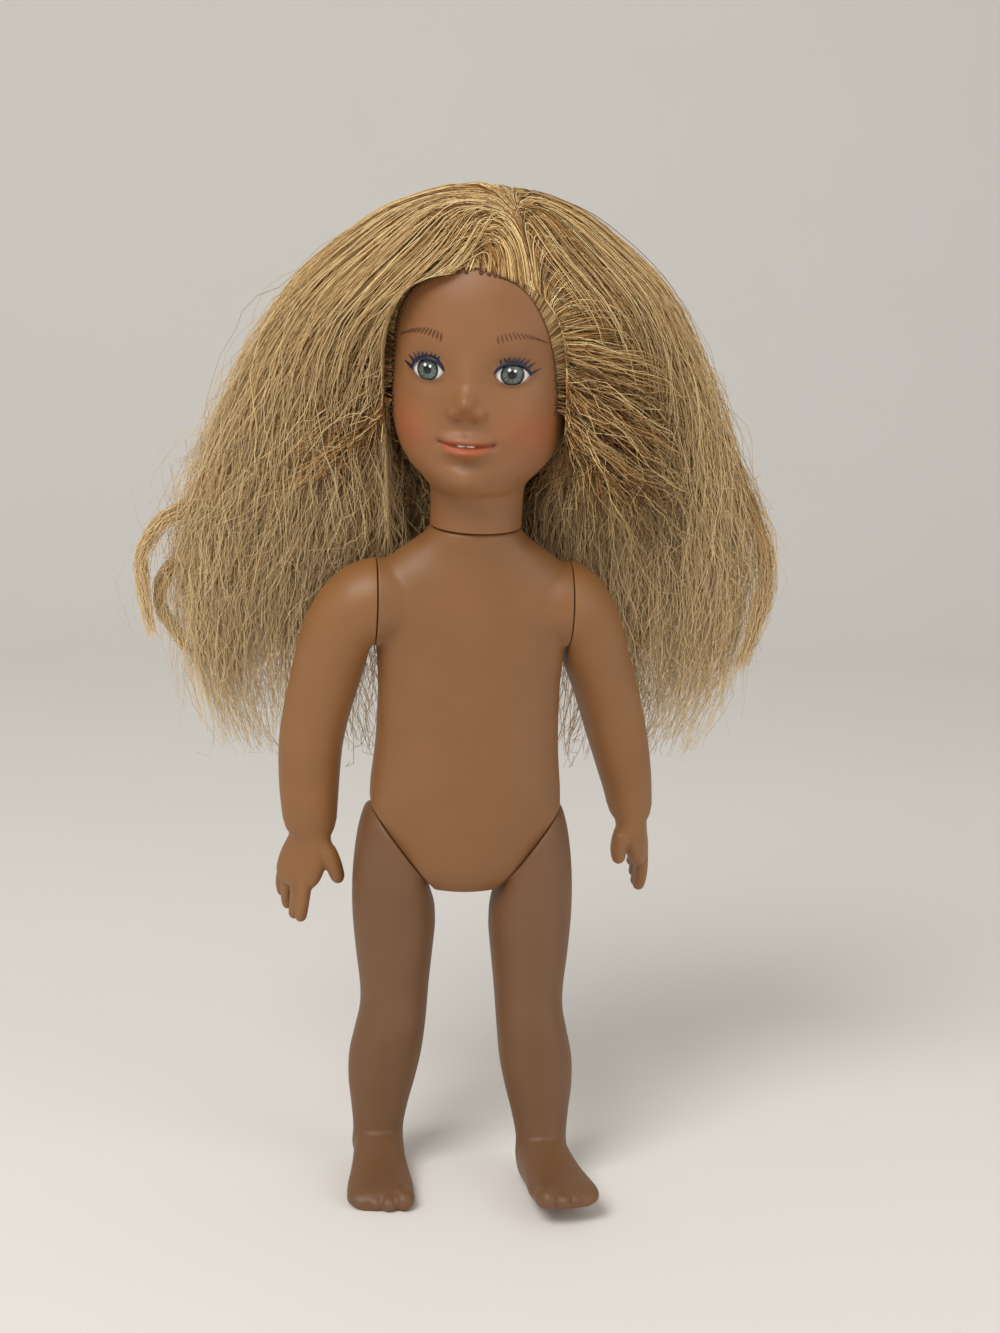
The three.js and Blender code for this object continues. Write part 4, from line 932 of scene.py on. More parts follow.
# Painted shade: a dark line in the lips' parting and soft spots at the nostrils.
between = smooth(4.6 - np.abs(x), 0, 0.6) * np.exp(-((above / 0.2) ** 2))
nostril = np.exp(-(((np.abs(x) - 1.25) / 0.75) ** 2) - ((z - 18.9) / 0.5) ** 2)
shade = 0.8 * between + 0.22 * nostril
for side in (-1, 1):
    centre = eye_centre(side)
    rim = almond(x, z, centre)
    near = np.hypot((x - centre[0]) / 4.4, (z - centre[2] + 0.3) / 3.4)
    # A thin dark line at the lids' rim, partly printed liner and partly painted shade.
    shade = shade + 0.75 * (rim > 0.9) * np.exp(-(((rim - 1.0) / 0.14) ** 2)) * (near < 1)
    # A broad painted shade over the eye socket.
    shade = shade + 0.22 * np.exp(-(near**2) * 2.2)
carry(head_piece.data, "shade", ahead * shade)

# %% [markdown]
# The eyes are pressed-in acrylic domes with a printed iris under the gloss. The print is drawn by
# distance from the eye's middle: a black pupil, a grey-green iris with fine spokes and a dark rim,
# and two white spots that toy makers print as a catchlight. The distances are held in a UV map.


# %% Printed eyes
def printed_eye():
    gloss = {"Roughness": 0.12, "IOR": 1.49}
    material, tree, shader = new_material("acrylic_eye_printed", gloss)
    place = add_node(tree, "UVMap", uv_map="iris").outputs["UV"]
    radius = add_node(tree, "VectorMath", {0: place}, operation="LENGTH").outputs["Value"]
    aim = add_node(tree, "VectorMath", {0: place}, operation="NORMALIZE").outputs[0]
    spokes = add_node(tree, "TexNoise", {"Vector": aim, "Scale": 7.0, "Detail": 2.0})
    layers = [
        (spokes.outputs["Fac"], 0.4, 0.62, 0.0, 1.0, "#6C776A"),
        (radius, 0.72, 0.84, 0.0, 1.0, "#2B3B35"),
        (radius, 0.82, 0.9, 0.0, 1.0, "#12181A"),
        (radius, 0.98, 1.03, 0.0, 1.0, "#E9E2DA"),
    ]
    spots = (
        ((0, 0.02, 0), 0.36, 0.42, "#0C0D0E"),
        ((-0.24, 0.42, 0), 0.1, 0.16, "#FFFFFF"),
        ((0.24, 0.34, 0), 0.09, 0.15, "#FFFFFF"),
    )
    for middle, low, high, tone in spots:
        away = add_node(tree, "VectorMath", {0: place, 1: middle}, operation="DISTANCE")
        layers.append((away.outputs["Value"], low, high, 1.0, 0.0, tone))
    tree.links.new(layered(tree, linear("#3B423D"), layers), shader.inputs["Base Color"])
    return material


eye_print = printed_eye()
IRIS_RADIUS = 1.74
for name, side in (("eye_right", -1), ("eye_left", 1)):
    centre = eye_centre(side)
    form = ball(centre, EYE_RADII, 96, 64)
    slope_x, slope_z = skin_slopes(centre)
    for vertex in form.verts:
        away = vertex.co - Vector(centre)
        vertex.co.y += slope_x * away.x + slope_z * away.z
    places = (vertex_places(form) - centre)[:, [0, 2]] / IRIS_RADIUS
    eye = piece(name + "_dome", form, head_frame, eye_print, "head", [name])
    corners = np.empty(len(eye.data.loops), int)
    eye.data.loops.foreach_get("vertex_index", corners)
    layer = eye.data.uv_layers.new(name="iris")
    layer.data.foreach_set("uv", places[corners].astype(np.float32).ravel())

# %% [markdown]
# Brows, lashes and lid lines are printed strokes. Each is a hair-thin tapered thread laid half into
# the skin, which keeps its edges sharp at any distance. Curves make such threads easily: a curve
# carries a three-sided section along its points, wider or narrower at each.

# %% Threads along paths
section_curve = bpy.data.curves.new("thread_section", "CURVE")
section_curve.dimensions = "2D"
corner_line = section_curve.splines.new("POLY")
corner_line.points.add(2)
for corner, point in enumerate(corner_line.points):
    turn = 2 * math.pi * corner / 3
    point.co = (MM * math.cos(turn), MM * math.sin(turn), 0, 1)
corner_line.use_cyclic_u = True
section_thing = bpy.data.objects.new("thread_section", section_curve)


def threads(paths, radii, place):
    """A mesh of three-sided threads. paths: count x points x 3 and radii: count x points, in mm."""
    turn = np.array(place.to_3x3())
    shift = np.array(place.translation)
    world = (paths @ turn.T + shift) * MM
    curve = bpy.data.curves.new("threads", "CURVE")
    curve.dimensions = "3D"
    curve.bevel_mode = "OBJECT"
    curve.bevel_object = section_thing
    fourth = np.ones((world.shape[1], 1))
    for path, radius in zip(world, radii):
        line = curve.splines.new("POLY")
        line.points.add(len(path) - 1)
        line.points.foreach_set("co", np.hstack([path, fourth]).ravel())
        line.points.foreach_set("radius", radius)
    thing = linked("threads", curve)
    mesh = as_mesh(thing)
    bpy.data.objects.remove(thing)
    bpy.data.curves.remove(curve)
    mesh.polygons.foreach_set("use_smooth", np.ones(len(mesh.polygons), bool))
    return mesh


# %% [markdown]
# The brows are twelve short strokes each that lean outwards along an arc. The upper lid carries a
# heavy navy line with nine lashes that fan out from it. The print is a matt enamel.


# %% Printed strokes
def enamel(name, colour, roughness):
    """Printed enamel: an even film with a faint unevenness."""
    tone = linear(colour)
    return drifting(name, tone, [c * 0.8 for c in tone], 0.5, roughness, 2.0)


brow_enamel = enamel("brown_enamel", "#6E4227", 0.5)
lash_enamel = enamel("navy_enamel", "#1F2038", 0.4)
tooth_enamel = enamel("white_enamel", "#F1E9DF", 0.25)


def on_face(x, z, lift=0.0):
    """Points on the face at places across and up, a little ahead of it by the lift."""
    return np.stack([x, face_depth(x, z) - lift, z], -1)


def brow_strokes(side):
    strokes = []
    for share in np.linspace(0, 1, 12):
        x = 4.3 + 6.5 * share
        z = 32.3 - 0.075 * (x - 7.2) ** 2
        lean_out = 0.15 + 1.1 * share
        t = np.linspace(-0.5, 0.5, 6)
        rise = 1.35 / math.hypot(1, lean_out)
        across = side * (x + t * rise * lean_out)
        strokes.append(on_face(across, z - t * rise * (1 - 0.2 * share), 0.01))
    return strokes


def lid_line(side):
    centre = eye_centre(side)
    t = np.linspace(-1, 1, 24)
    z = centre[2] + LID_RISE * lid_arch(t)
    return on_face(centre[0] + side * EYE_HALF * t, z + 0.12)


def lashes(side):
    centre = eye_centre(side)
    strokes = []
    for share in np.linspace(-0.6, 1.0, 9):
        t = np.linspace(0, 1, 6)
        base_x, base_z = EYE_HALF * share, LID_RISE * lid_arch(share)
        aim = 0.25 + 0.75 * share
        length = 1.0 + 0.5 * max(share, 0)
        x = base_x + length * t * math.sin(aim) + 0.12 * t**2 * (1 if share > 0 else -1)
        z = base_z + 0.1 + length * t * math.cos(aim)
        strokes.append(on_face(centre[0] + side * x, centre[2] + z, 0.015))
    return strokes


def printed(name, paths, widths, material):
    paths = np.array(paths)
    mesh = threads(paths, np.tile(widths, (len(paths), 1)), head_frame)
    finished(name, mesh, material, "head", ())


brow_taper = 0.15 * np.array([0.4, 0.9, 1.0, 1.0, 0.75, 0.3])
lash_taper = 0.24 * np.array([1.3, 1.2, 1.0, 0.8, 0.5, 0.2])
lid_widths = 0.2 + 0.3 * np.sin(np.linspace(0, np.pi, 24)) ** 0.7
printed("printed_brows", brow_strokes(-1) + brow_strokes(1), brow_taper, brow_enamel)
printed("printed_lashes", lashes(-1) + lashes(1), lash_taper, lash_enamel)
printed("printed_lid_lines", [lid_line(-1), lid_line(1)], lid_widths, lash_enamel)

# %% [markdown]
# Two milk teeth show between the lips. They are one small moulded swelling in the real head,
# painted white, so here they are two flattened balls that stand a little out of the parting.

# %% Teeth
teeth = []
for side in (-1, 1):
    place = on_face(np.array(side * 0.66), np.array(MOUTH_HEIGHT - 0.05), -0.12)
    teeth.append(ball(place, (0.72, 0.3, 0.4)))
piece("painted_teeth", joined(teeth), head_frame, tooth_enamel, "head")

# %% [markdown]
# The doll's hair is drawn polymer fibre, about 0.15 mm thick, that has been combed and
# handled until it stands off in a frizzy mane. It is made in three layers: a thin mat that keeps
# light from passing, thousands of fibres gathered in locks, and single flyaway fibres. All of them
# follow one function, which gives a point of the mane from the side, the way round from the face to
# the back, the way down from the roots to the tips, and the depth under the surface.

# %% The shape of the mane
SPREAD, MANE_DEPTH, MANE_LENGTH, LOFT, MAT_THICKNESS = 50, 20, 96, 4.6, 4.2
HAIR_TOP = HEAD_HEIGHT + LOFT
hair_shares = [
    (0.0, 0.0, -0.42, 0.03, -0.1, 0.2),
    (0.02, 0.0, -0.5, 0.16, 0.0, 0.45),
    (0.05, 0.02, -0.58, 0.31, 0.06, 0.66),
    (0.1, 0.07, -0.62, 0.44, 0.12, 0.82),
    (0.16, 0.17, -0.6, 0.56, 0.18, 0.93),
    (0.23, 0.27, -0.42, 0.65, 0.24, 0.99),
    (0.31, 0.3, -0.2, 0.73, 0.3, 1.0),
    (0.4, 0.3, 0.0, 0.8, 0.38, 0.98),
    (0.5, 0.27, 0.16, 0.86, 0.46, 0.92),
    (0.6, 0.28, 0.36, 0.91, 0.56, 0.86),
    (0.7, 0.32, 0.46, 0.93, 0.64, 0.84),
    (0.8, 0.37, 0.52, 0.92, 0.68, 0.84),
    (0.9, 0.44, 0.58, 0.89, 0.72, 0.84),
    (1.0, 0.52, 0.62, 0.82, 0.74, 0.84),
]


def mane(side, way_round, down, depth):
    """Points of the mane in the frame of the neck seam, in mm."""
    fall, inner, front, outer, middle, back = np.moveaxis(eased(hair_shares, down), -1, 0)
    edge, wide, mid = inner * SPREAD, outer * SPREAD, middle * MANE_DEPTH
    reach = wide - depth * np.minimum(1, wide / (2 * MAT_THICKNESS))
    angle = np.pi * np.where(way_round < 0.5, way_round, way_round - 0.5)
    ahead = (mid - front * MANE_DEPTH - depth) * np.cos(angle)
    behind = (back * MANE_DEPTH - mid - depth) * np.sin(angle)
    forward = way_round < 0.5
    x = np.where(forward, edge + (reach - edge) * np.sin(angle), reach * np.cos(angle))
    y = np.where(forward, mid - ahead, mid + behind)
    z = HAIR_TOP - fall * MANE_LENGTH - depth * np.clip(1 - down * 5, 0, None)
    return np.stack(np.broadcast_arrays(side * x, y, z), -1)


# %% [markdown]
# Fibres may not pass through the doll. So each point is tested against simple shapes of the head,
# the face's opening, the torso and the arms, and is moved out of them: sideways round the face, and
# backwards behind the arms and shoulders, where the real hair hangs.

# %% Keeping the hair outside the doll
HAIRLINE_UP, HAIRLINE_RISE = 0.44, 0.392  # its middle and half height, of the head's height


def turned_about_z(points, angle):
    x = points[..., 0] * math.cos(angle) - points[..., 1] * math.sin(angle)
    y = points[..., 0] * math.sin(angle) + points[..., 1] * math.cos(angle)
    return np.stack([x, y, points[..., 2]], -1)


def hairline(turn):
    """The squarish arch of the hairline: x and z at a turn from its top, in the head's frame."""
    across, up = np.sin(turn), np.cos(turn)
    x = 14.4 * np.sign(across) * np.abs(across) ** (2 / 3)
    rise = HAIRLINE_RISE * np.sign(up) * np.abs(up) ** (2 / 3)
    return x, (HAIRLINE_UP + rise) * HEAD_HEIGHT


def clear_of_face(points):
    """Moves points out of the hairline's oval, seen from the front."""
    x, y, z = np.moveaxis(points, -1, 0)
    middle, half_x, half_z = HAIRLINE_UP * HEAD_HEIGHT, 0.487 * HEAD_WIDTH, 0.39 * HEAD_HEIGHT
    a, b = np.abs(x / half_x), (z - middle) / half_z
    reach = np.cbrt(a**3 + np.clip(b, 0, None) ** 3)
    inside = (reach < 1) & (y < 1) & (z > -4) & (z < 45)
    grow = np.where(inside, 1 / np.maximum(reach, 0.05), 1)
    return np.stack([x * grow, y, np.where(b > 0, middle + (z - middle) * grow, z)], -1)


def head_level(points, margin=0):
    """Below 1 inside the head grown by a margin, and the squareness of its sections there."""
    x, y, z = np.moveaxis(points, -1, 0)
    half, front, back, square = head_row(np.clip(z / HEAD_HEIGHT, 0, 0.995))
    half = half * HEAD_WIDTH / 2 + margin
    depth = np.where(y < 0, front, back) * HEAD_DEPTH + margin
    return (np.abs(x) / half) ** square + (np.abs(y) / depth) ** square, square


def clear_of_head(points, margin):
    x, y, z = np.moveaxis(points, -1, 0)
    level, square = head_level(points, margin)
    inside = (level < 1) & (z > 0) & (z < HEAD_HEIGHT)
    grow = np.where(inside, np.maximum(level, 1e-4) ** (-1 / square), 1)
    return np.stack([x * grow, y * grow, z], -1)


torso_rows = np.array(torso_sections(np.linspace(0, 1, 400)))


def clear_of_torso(points, margin):
    x, y, z = np.moveaxis(points, -1, 0)
    half, front, back, square = (np.interp(z, torso_rows[0], torso_rows[c]) for c in range(1, 5))
    half, back = half + margin, back + margin
    share = np.clip(1 - (np.abs(x) / half) ** square, 0, 1)
    behind = back * share ** (1 / square)
    inside = (z < 1) & (z > -TORSO_HEIGHT) & (share > 0) & (y < behind)
    return np.stack([x, np.where(inside, behind, y), z], -1)


def arm_rows(side, table, swing):
    """The height, x, y and radius of an arm down its length, in the frame of the neck seam."""
    out, ahead, down, half, _, _, back, _ = eased(table, np.linspace(0, 1, 60)).T
    down = down * ARM_LENGTH
    ahead = -ahead * ARM_WIDTH
    turn = math.radians(swing)
    y = ahead * math.cos(turn) + down * math.sin(turn)
    z = ahead * math.sin(turn) - down * math.cos(turn) - SHOULDER_DROP
    x = side * (out * ARM_WIDTH + TORSO_WIDTH / 2)
    return np.stack([z, x, y, np.maximum(half, back) * ARM_WIDTH])[:, ::-1]


arms = [
    arm_rows(-1, right_arm_shares, RIGHT_ARM_SWING),
    arm_rows(1, left_arm_shares, LEFT_ARM_SWING),
]


def clear_of_arms(points, margin):
    for rows in arms:
        x, y, z = np.moveaxis(points, -1, 0)
        middle, level, radius = (np.interp(z, rows[0], rows[c]) for c in range(1, 4))
        radius = radius + margin
        near = (z < rows[0].max() + 6) & (z > rows[0].min() - 2) & (np.abs(x - middle) < radius)
        reach = np.sqrt(np.clip(radius**2 - (x - middle) ** 2, 0, None))
        behind = level + reach
        y = np.where(near & (y < behind), behind, y)
        points = np.stack([x, y, z], -1)
    return points


def clear_of_doll(points, margin):
    local = turned_about_z(points, HEAD_TURN)
    local = clear_of_head(clear_of_face(local), margin)
    points = turned_about_z(local, -HEAD_TURN)
    return clear_of_arms(clear_of_torso(points, margin), margin)


# %% [markdown]
# Drawn fibre is a smooth, slightly clear polymer. It shines along its length, so it needs a
# low roughness and pale and dark fibres side by side; the pale ones are partly painted glints. The
# fibres carry two values: a tone, their own random tone darkened as painted shade where they lie
# deep in the mane, and how far along them a point is, for painted shade at the roots and painted
# light towards the tips. The mat carries neither: its tone is a noise drawn out along the fibres,
# and all of it is as dark as the roots' painted shade.


# %% Hair fibre
def hair_fibre(name, mat):
    shine = {"Roughness": 0.5 if mat else 0.3, "IOR": 1.5}
    material, tree, shader = new_material(name, shine)
    place = add_node(tree, "TexCoord").outputs["Object"]
    tone = add_node(tree, "Attribute", attribute_name="tone").outputs["Fac"]
    along = add_node(tree, "Attribute", attribute_name="along").outputs["Fac"]
    if mat:
        uv = add_node(tree, "UVMap", uv_map="fibres").outputs["UV"]
        stretch = add_node(tree, "Mapping", {"Vector": uv, "Scale": (260.0, 6.0, 1.0)})
        tone = add_node(
            tree, "TexNoise", {"Vector": stretch.outputs[0], "Scale": 1.0, "Detail": 2.0}
        ).outputs["Fac"]
        ridge = add_node(tree, "Bump", {"Height": tone, "Strength": 0.6, "Distance": 0.25 * MM})
        tree.links.new(ridge.outputs["Normal"], shader.inputs["Normal"])
    patch = add_node(tree, "TexNoise", {"Vector": place, "Scale": 1 / (7 * MM), "Detail": 1.0})
    # Dark fibres are partly painted shade and pale ones partly painted glints; the tips are paled as
    # painted light and the roots darkened as painted shade.
    layers = (
        (patch.outputs["Fac"], 0.0, 1.0, 0.0, 1.0, "#C68E44"),
        (tone, 0.0, 0.36, 1.0, 0.0, "#5C3A16"),
        (tone, 0.32, 0.95, 0.0, 1.0, "#FFE3A4"),
        (along, 0.3, 0.9, 0.0, 0.72, "#F2D8A8"),
        (along, 0.0, 0.06, 0.6, 0.0, "#6B4A22"),
    )
    tree.links.new(layered(tree, linear("#A86E2C"), layers), shader.inputs["Base Color"])
    return material


fibre = hair_fibre("drawn_polymer_fibre", False)
mat_fibre_and_shade = hair_fibre("matted_fibre_and_painted_shade", True)

# %% [markdown]
# The mat is a curtain on each side, from the face's edge round to the back, a little under the
# surface of the mane, with a wall added by Solidify. Its dark colour is painted shade for the inside
# of the mane, and no bald gap shows between the locks.


# %% Mat of hair under the locks
def mat_layer(name, side):
    form = bmesh.new()
    form.loops.layers.uv.new("fibres")
    bmesh.ops.create_grid(form, x_segments=60, y_segments=64, size=0.5, calc_uvs=True)
    way_round, v = grid_places(form)
    down = 0.06 + 0.76 * v
    depth = 3.4 + 1.2 * np.sin(23 * way_round + 5 * v) * v
    ends = (3 * np.sin(31 * way_round) + 2 * np.sin(67 * way_round)) * smooth(v, 0.75, 1)
    places = mane(side, way_round, down, depth)
    places[:, 2] += ends
    set_places(form, clear_of_doll(places, 0.7))
    form.transform(Matrix.Scale(MM, 4) @ upright)
    thing = finished(name, mesh_of(form, name), mat_fibre_and_shade, None, [])
    wall = thing.modifiers.new("wall", "SOLIDIFY")
    wall.thickness = 0.5 * MM
    wall.offset = 0
    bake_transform(thing)


HAIR_SIDE = 0.625

# %% [markdown]
# The roots stand in rows over the scalp. A strand is named by its side, its way round and its
# layer: the uppermost layer starts at the parting, which runs from the front hairline over the
# crown, and the deepest starts at the temple, behind the ear and at the nape.

# %% Roots on the scalp
PARTING_TURN = 0.56
SCALP_MIDDLE = np.array([0, 0, 25.0])


def on_scalp(aim, lift):
    """Where rays from the middle of the scalp leave the head, lifted off it, in its frame."""
    near, far = np.zeros(len(aim)), np.full(len(aim), 60.0)
    for _ in range(14):
        middle = (near + far) / 2
        point = SCALP_MIDDLE + aim * middle[:, None]
        inside = (head_level(point)[0] < 1) & (point[:, 2] < HEAD_HEIGHT * 0.992)
        near, far = np.where(inside, middle, near), np.where(inside, far, middle)
    return SCALP_MIDDLE + aim * (near + lift)[:, None]


def scalp_aim(side, way_round, layer):
    turn = PARTING_TURN * (1 - layer) + side * 1.6 * layer
    edge_x, edge_z = hairline(turn)
    edge = np.stack([edge_x, -13.2 + 5.5 * layer**2, edge_z - SCALP_MIDDLE[2]], -1)
    nape = np.stack([0 * layer, 6 + 9 * layer, 24 - 38 * layer], -1)
    share = way_round[:, None] ** 0.85
    aim = edge * (1 - share) + nape * share
    bulge = np.sin(np.pi * np.clip(way_round, 0, 1)) * layer
    aim[:, 0] += side * 9 * bulge
    return aim / np.linalg.norm(aim, axis=1)[:, None]


def roots(side, way_round, layer):
    """Root places in the frame of the neck seam."""
    return turned_about_z(on_scalp(scalp_aim(side, way_round, layer), 0.25), -HEAD_TURN)


# %% [markdown]
# A strand leaves its root in an arc round the scalp and joins the mane at the height of the root,
# so it lies over the head and then falls. Strands gather in locks: towards its tip each one draws
# closer to the middle of its lock. Handling has kinked the lower half, so waves of three lengths
# grow towards the tips.

# %% Strands of the mane
rng = np.random.default_rng(41)
STRAND_POINTS = 32
LOCKS = 60
SIDES = ((-1, "right"), (1, "left"))
FIBRE_MARGIN = 0.35  # between a fibre and the doll


def kinks(t, count, amount):
    """Waves of three lengths, each strand with its own phases, that grow towards the tips."""
    total = np.zeros((count, len(t), 3))
    for waves, share in ((2.3, 1.0), (5.5, 0.5), (11, 0.26)):
        phase = rng.uniform(0, 2 * np.pi, (count, 1, 3))
        pace = waves * rng.uniform(0.7, 1.3, (count, 1, 3))
        total += share * np.sin(2 * np.pi * pace * t[None, :, None] + phase)
    return total * amount[..., None]


def arced(begin, paths, ease):
    """Leads each path away from its root in an arc round the middle of the scalp."""
    from_root = (begin - SCALP_MIDDLE)[:, None, :]
    to_path = paths - SCALP_MIDDLE
    near = np.linalg.norm(from_root, axis=-1, keepdims=True)
    far = np.linalg.norm(to_path, axis=-1, keepdims=True)
    share = ease[..., None]
    aim = from_root / near * (1 - share) + to_path / far * share
    aim = aim / np.linalg.norm(aim, axis=-1, keepdims=True)
    lift = 0.8 * np.sin(np.pi * share)
    return SCALP_MIDDLE + aim * (near * (1 - share) + far * share + lift)


def locks(first, last):
    """The way round, layer, end, phase, tone, depth and wave of each lock."""
    way_round = rng.uniform(first, last, LOCKS)
    layer = rng.uniform(0, 1, LOCKS) ** 1.1
    end = rng.uniform(0.8, 1.0, LOCKS) - 0.08 * layer
    phase = rng.uniform(0, 2 * np.pi, LOCKS)
    tone = rng.normal(0, 0.26, LOCKS)
    depth = rng.uniform(-1.4, 3.2, LOCKS)
    return np.stack([way_round, layer, end, phase, tone, depth, rng.uniform(0.6, 1.5, LOCKS)])


def strands(side, first, last, count, frizz, reach=0.0):
    """Paths of strands between two ways round, with their tones. Each belongs to a lock."""
    lock = rng.integers(0, LOCKS, count)
    drawn = locks(first, last)[:, lock]
    lock_round, lock_layer, lock_end, lock_phase, lock_tone, lock_depth, lock_wave = drawn
    width = (last - first) * 0.16
    own_round = np.clip(lock_round + rng.normal(0, width, count), first, last)
    layer = np.clip(lock_layer + rng.normal(0, 0.18, count), 0, 1)
    end = lock_end * rng.uniform(0.8, 1.03, count) + 0.08 * (own_round > 0.6)
    t = np.linspace(0, 1, STRAND_POINTS)
    window = (0.22 + 0.4 * layer + 0.1 * np.clip(1 - own_round / 0.4, 0, 1))[:, None]
    hold = 0.15 * (1 - layer[:, None])
    progress = np.clip((t - hold) / (1 - hold), 0, 1)
    start = 0.02 + 0.48 * layer**1.3
    down = start[:, None] + (end - start)[:, None] * progress
    gather = 0.75 * smooth(down, 0.25, 0.9) * rng.uniform(0.1, 1.2, (count, 1))
    way_round = own_round[:, None] * (1 - gather) + lock_round[:, None] * gather
    swing = 0.022 * np.sin(8 * down + lock_phase[:, None])
    stray = rng.normal(0, 0.05, (count, 1)) * t
    way_round = np.clip(way_round + swing * smooth(down, 0.2, 0.8) + stray, 0, 1)
    depth = 0.15 + 10 * layer[:, None] ** 1.6 * (1 - 0.5 * t)
    depth = depth + rng.uniform(-0.2, 0.7, (count, 1))
    depth = depth + rng.normal(0, 1.2, (count, 1)) * t
    depth = depth + lock_depth[:, None] * smooth(down, 0.05, 0.4)
    paths = mane(side, way_round, np.clip(down, 0, 1), depth)
    turn = lock_phase[:, None]
    wave = np.sin(8 * down + turn) + 0.5 * np.sin(19 * down + 3 * turn)
    drift = lock_wave[:, None] * wave * smooth(down, 0.2, 0.85)
    paths[..., 1] += 1.5 * drift
    paths[..., 0] += side * (1.6 * drift + 1.2 * np.cos(11 * down + turn) * smooth(down, 0.6, 1))
    root_round = own_round * rng.uniform(0, 1, count) ** 1.5
    ease = smooth(t[None, :] / window, 0, 1)
    paths = arced(roots(side, root_round, layer), paths, ease)
    paths[..., 2] -= 4.5 * layer[:, None] * np.sin(np.pi * ease)
    wild = rng.uniform(0.3, 1.0, (count, 1)) + rng.exponential(0.35, (count, 1))
    amount = frizz * (0.03 + smooth(down, 0.12, 0.8)) * np.clip(wild, 0, 2.2)
    paths = paths + kinks(t, count, amount * np.minimum(1, 10 * t))
    away = reach * rng.uniform(0, 1, (count, 1)) * t[None, :] ** 2
    paths[..., 0] += side * away * np.sin(np.pi * np.clip(way_round, 0.1, 0.9))
    paths[..., 2] += 0.5 * away
    paths[:, 1:] = clear_of_doll(paths[:, 1:], FIBRE_MARGIN)
    # Each strand's own random tone, darkened as painted shade the deeper its layer lies.
    tone = 0.62 + lock_tone + rng.normal(0, 0.26, count) - 0.15 * layer
    # Locks that lie deeper in the mane are darker still: painted shade.
    tone = tone - 0.1 * lock_depth
    return paths, tone


def curl_path(side, knots, thick):
    """Strands that leave the mane half-way down and follow a stray curl."""
    count = CURL_STRANDS
    t = np.linspace(0, 1, STRAND_POINTS + 10)
    knots = np.array(knots)
    x, y, fall = knots.T
    height = HAIR_TOP - fall * MANE_LENGTH
    places = np.stack([side * x * SPREAD, y * MANE_DEPTH, height], -1)
    own_round = rng.uniform(0.36, 0.56, count)
    begin = rng.uniform(0.1, 0.3, count)
    falls = [row[0] for row in hair_shares]
    fall_at = np.linspace(0, 1, len(falls))
    meet = np.interp(fall[0], falls, fall_at)
    down = begin[:, None] + (meet - begin)[:, None] * np.clip(t / 0.5, 0, 1)
    in_mane = mane(side, own_round[:, None] + 0 * down, down, 0.8)
    length = rng.uniform(0.72, 1.0, (count, 1))
    tail = eased(places, length * np.clip((t[None, :] - 0.4) / 0.6, 0, 1))
    spread = rng.normal(0, 1, (count, 1, 3)) * thick * (1.3 - 0.9 * t[None, :, None])
    turn = 5.5 * t[None, :] + rng.uniform(0, 2 * np.pi, (count, 1))
    twist = 0.3 * thick * np.stack([np.cos(turn), np.sin(turn), np.cos(turn + 2)], -1)
    tail = tail + spread + twist
    ease = smooth(t, 0.3, 0.58)[None, :, None]
    paths = in_mane * (1 - ease) + tail * ease
    amount = 0.55 * np.ones((count, 1)) * smooth(t, 0.2, 1)[None]
    paths = clear_of_doll(paths + kinks(t, count, amount), FIBRE_MARGIN)
    return paths, rng.normal(0.5, 0.2, count)


# %% [markdown]
# Each piece of hair gets its strands' tones after the curves have become a mesh. The curves keep
# their order, and every strand has the same number of vertices, so the values can be repeated.


# %% Pieces of hair
def fibre_mesh(paths, tone, thick):
    count, points = paths.shape[:2]
    taper = np.linspace(1, 0.55, points)
    radii = thick * taper * rng.uniform(0.75, 1.25, (count, 1))
    mesh = threads(paths, radii, upright)
    each = len(mesh.vertices) // count
    carry(mesh, "tone", np.repeat(tone, each))
    carry(mesh, "along", np.tile(np.repeat(np.linspace(0, 1, points), each // points), count))
    return mesh


def hair_piece(name, run, thick, nodes):
    """Strands, given as paths and tones, as one object."""
    thing = finished(name, fibre_mesh(*run, thick), fibre, None, nodes)
    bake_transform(thing)


STRANDS, FLYAWAYS, CURL_STRANDS = 1000, 700, 200  # in each piece
for side, word in SIDES:
    for turn in ("outer", "middle", "inner"):
        name = "mane_" + word + "_" + turn
        run = strands(side, 0, HAIR_SIDE, STRANDS, 1.15)
        hair_piece(name, run, 0.075, ["hair_" + word] if turn == "outer" else [])
    run = strands(side, HAIR_SIDE, 1, STRANDS, 1.15)
    hair_piece("mane_back_" + word, run, 0.085, ["hair_back"] if side < 0 else [])
for side, word in SIDES:
    paths, tone = strands(side, 0.02, 0.98, FLYAWAYS, 2.2, 5.5)
    hair_piece("flyaway_fibres_" + word, (paths, tone - 0.2), 0.055, [])
upper = [(0.84, 0.55, 0.56), (0.92, 0.58, 0.57), (1.0, 0.58, 0.595)]
upper += [(1.06, 0.58, 0.65), (1.05, 0.56, 0.72), (1.02, 0.54, 0.79)]
lower = [(0.88, 0.72, 0.64), (0.93, 0.72, 0.66), (0.99, 0.72, 0.7)]
lower += [(1.0, 0.72, 0.745), (0.96, 0.74, 0.785), (0.9, 0.76, 0.83)]
outer = [(0.86, 0.5, 0.45), (0.92, 0.54, 0.53), (0.99, 0.56, 0.61)]
outer += [(1.01, 0.56, 0.69), (0.98, 0.54, 0.77), (0.94, 0.52, 0.84)]
curl_shares = {
    "curl_right_upper": (-1, upper, 0.62),
    "curl_right_lower": (-1, lower, 0.62),
    "curl_left_outer": (1, outer, 1.0),
}
for name, (side, knots, thick) in curl_shares.items():
    run = curl_path(side, knots, thick)
    hair_piece(name.replace("curl", "stray_lock"), run, 0.08, [name])

for side, word in SIDES:
    mat_layer("mat_" + word, side)

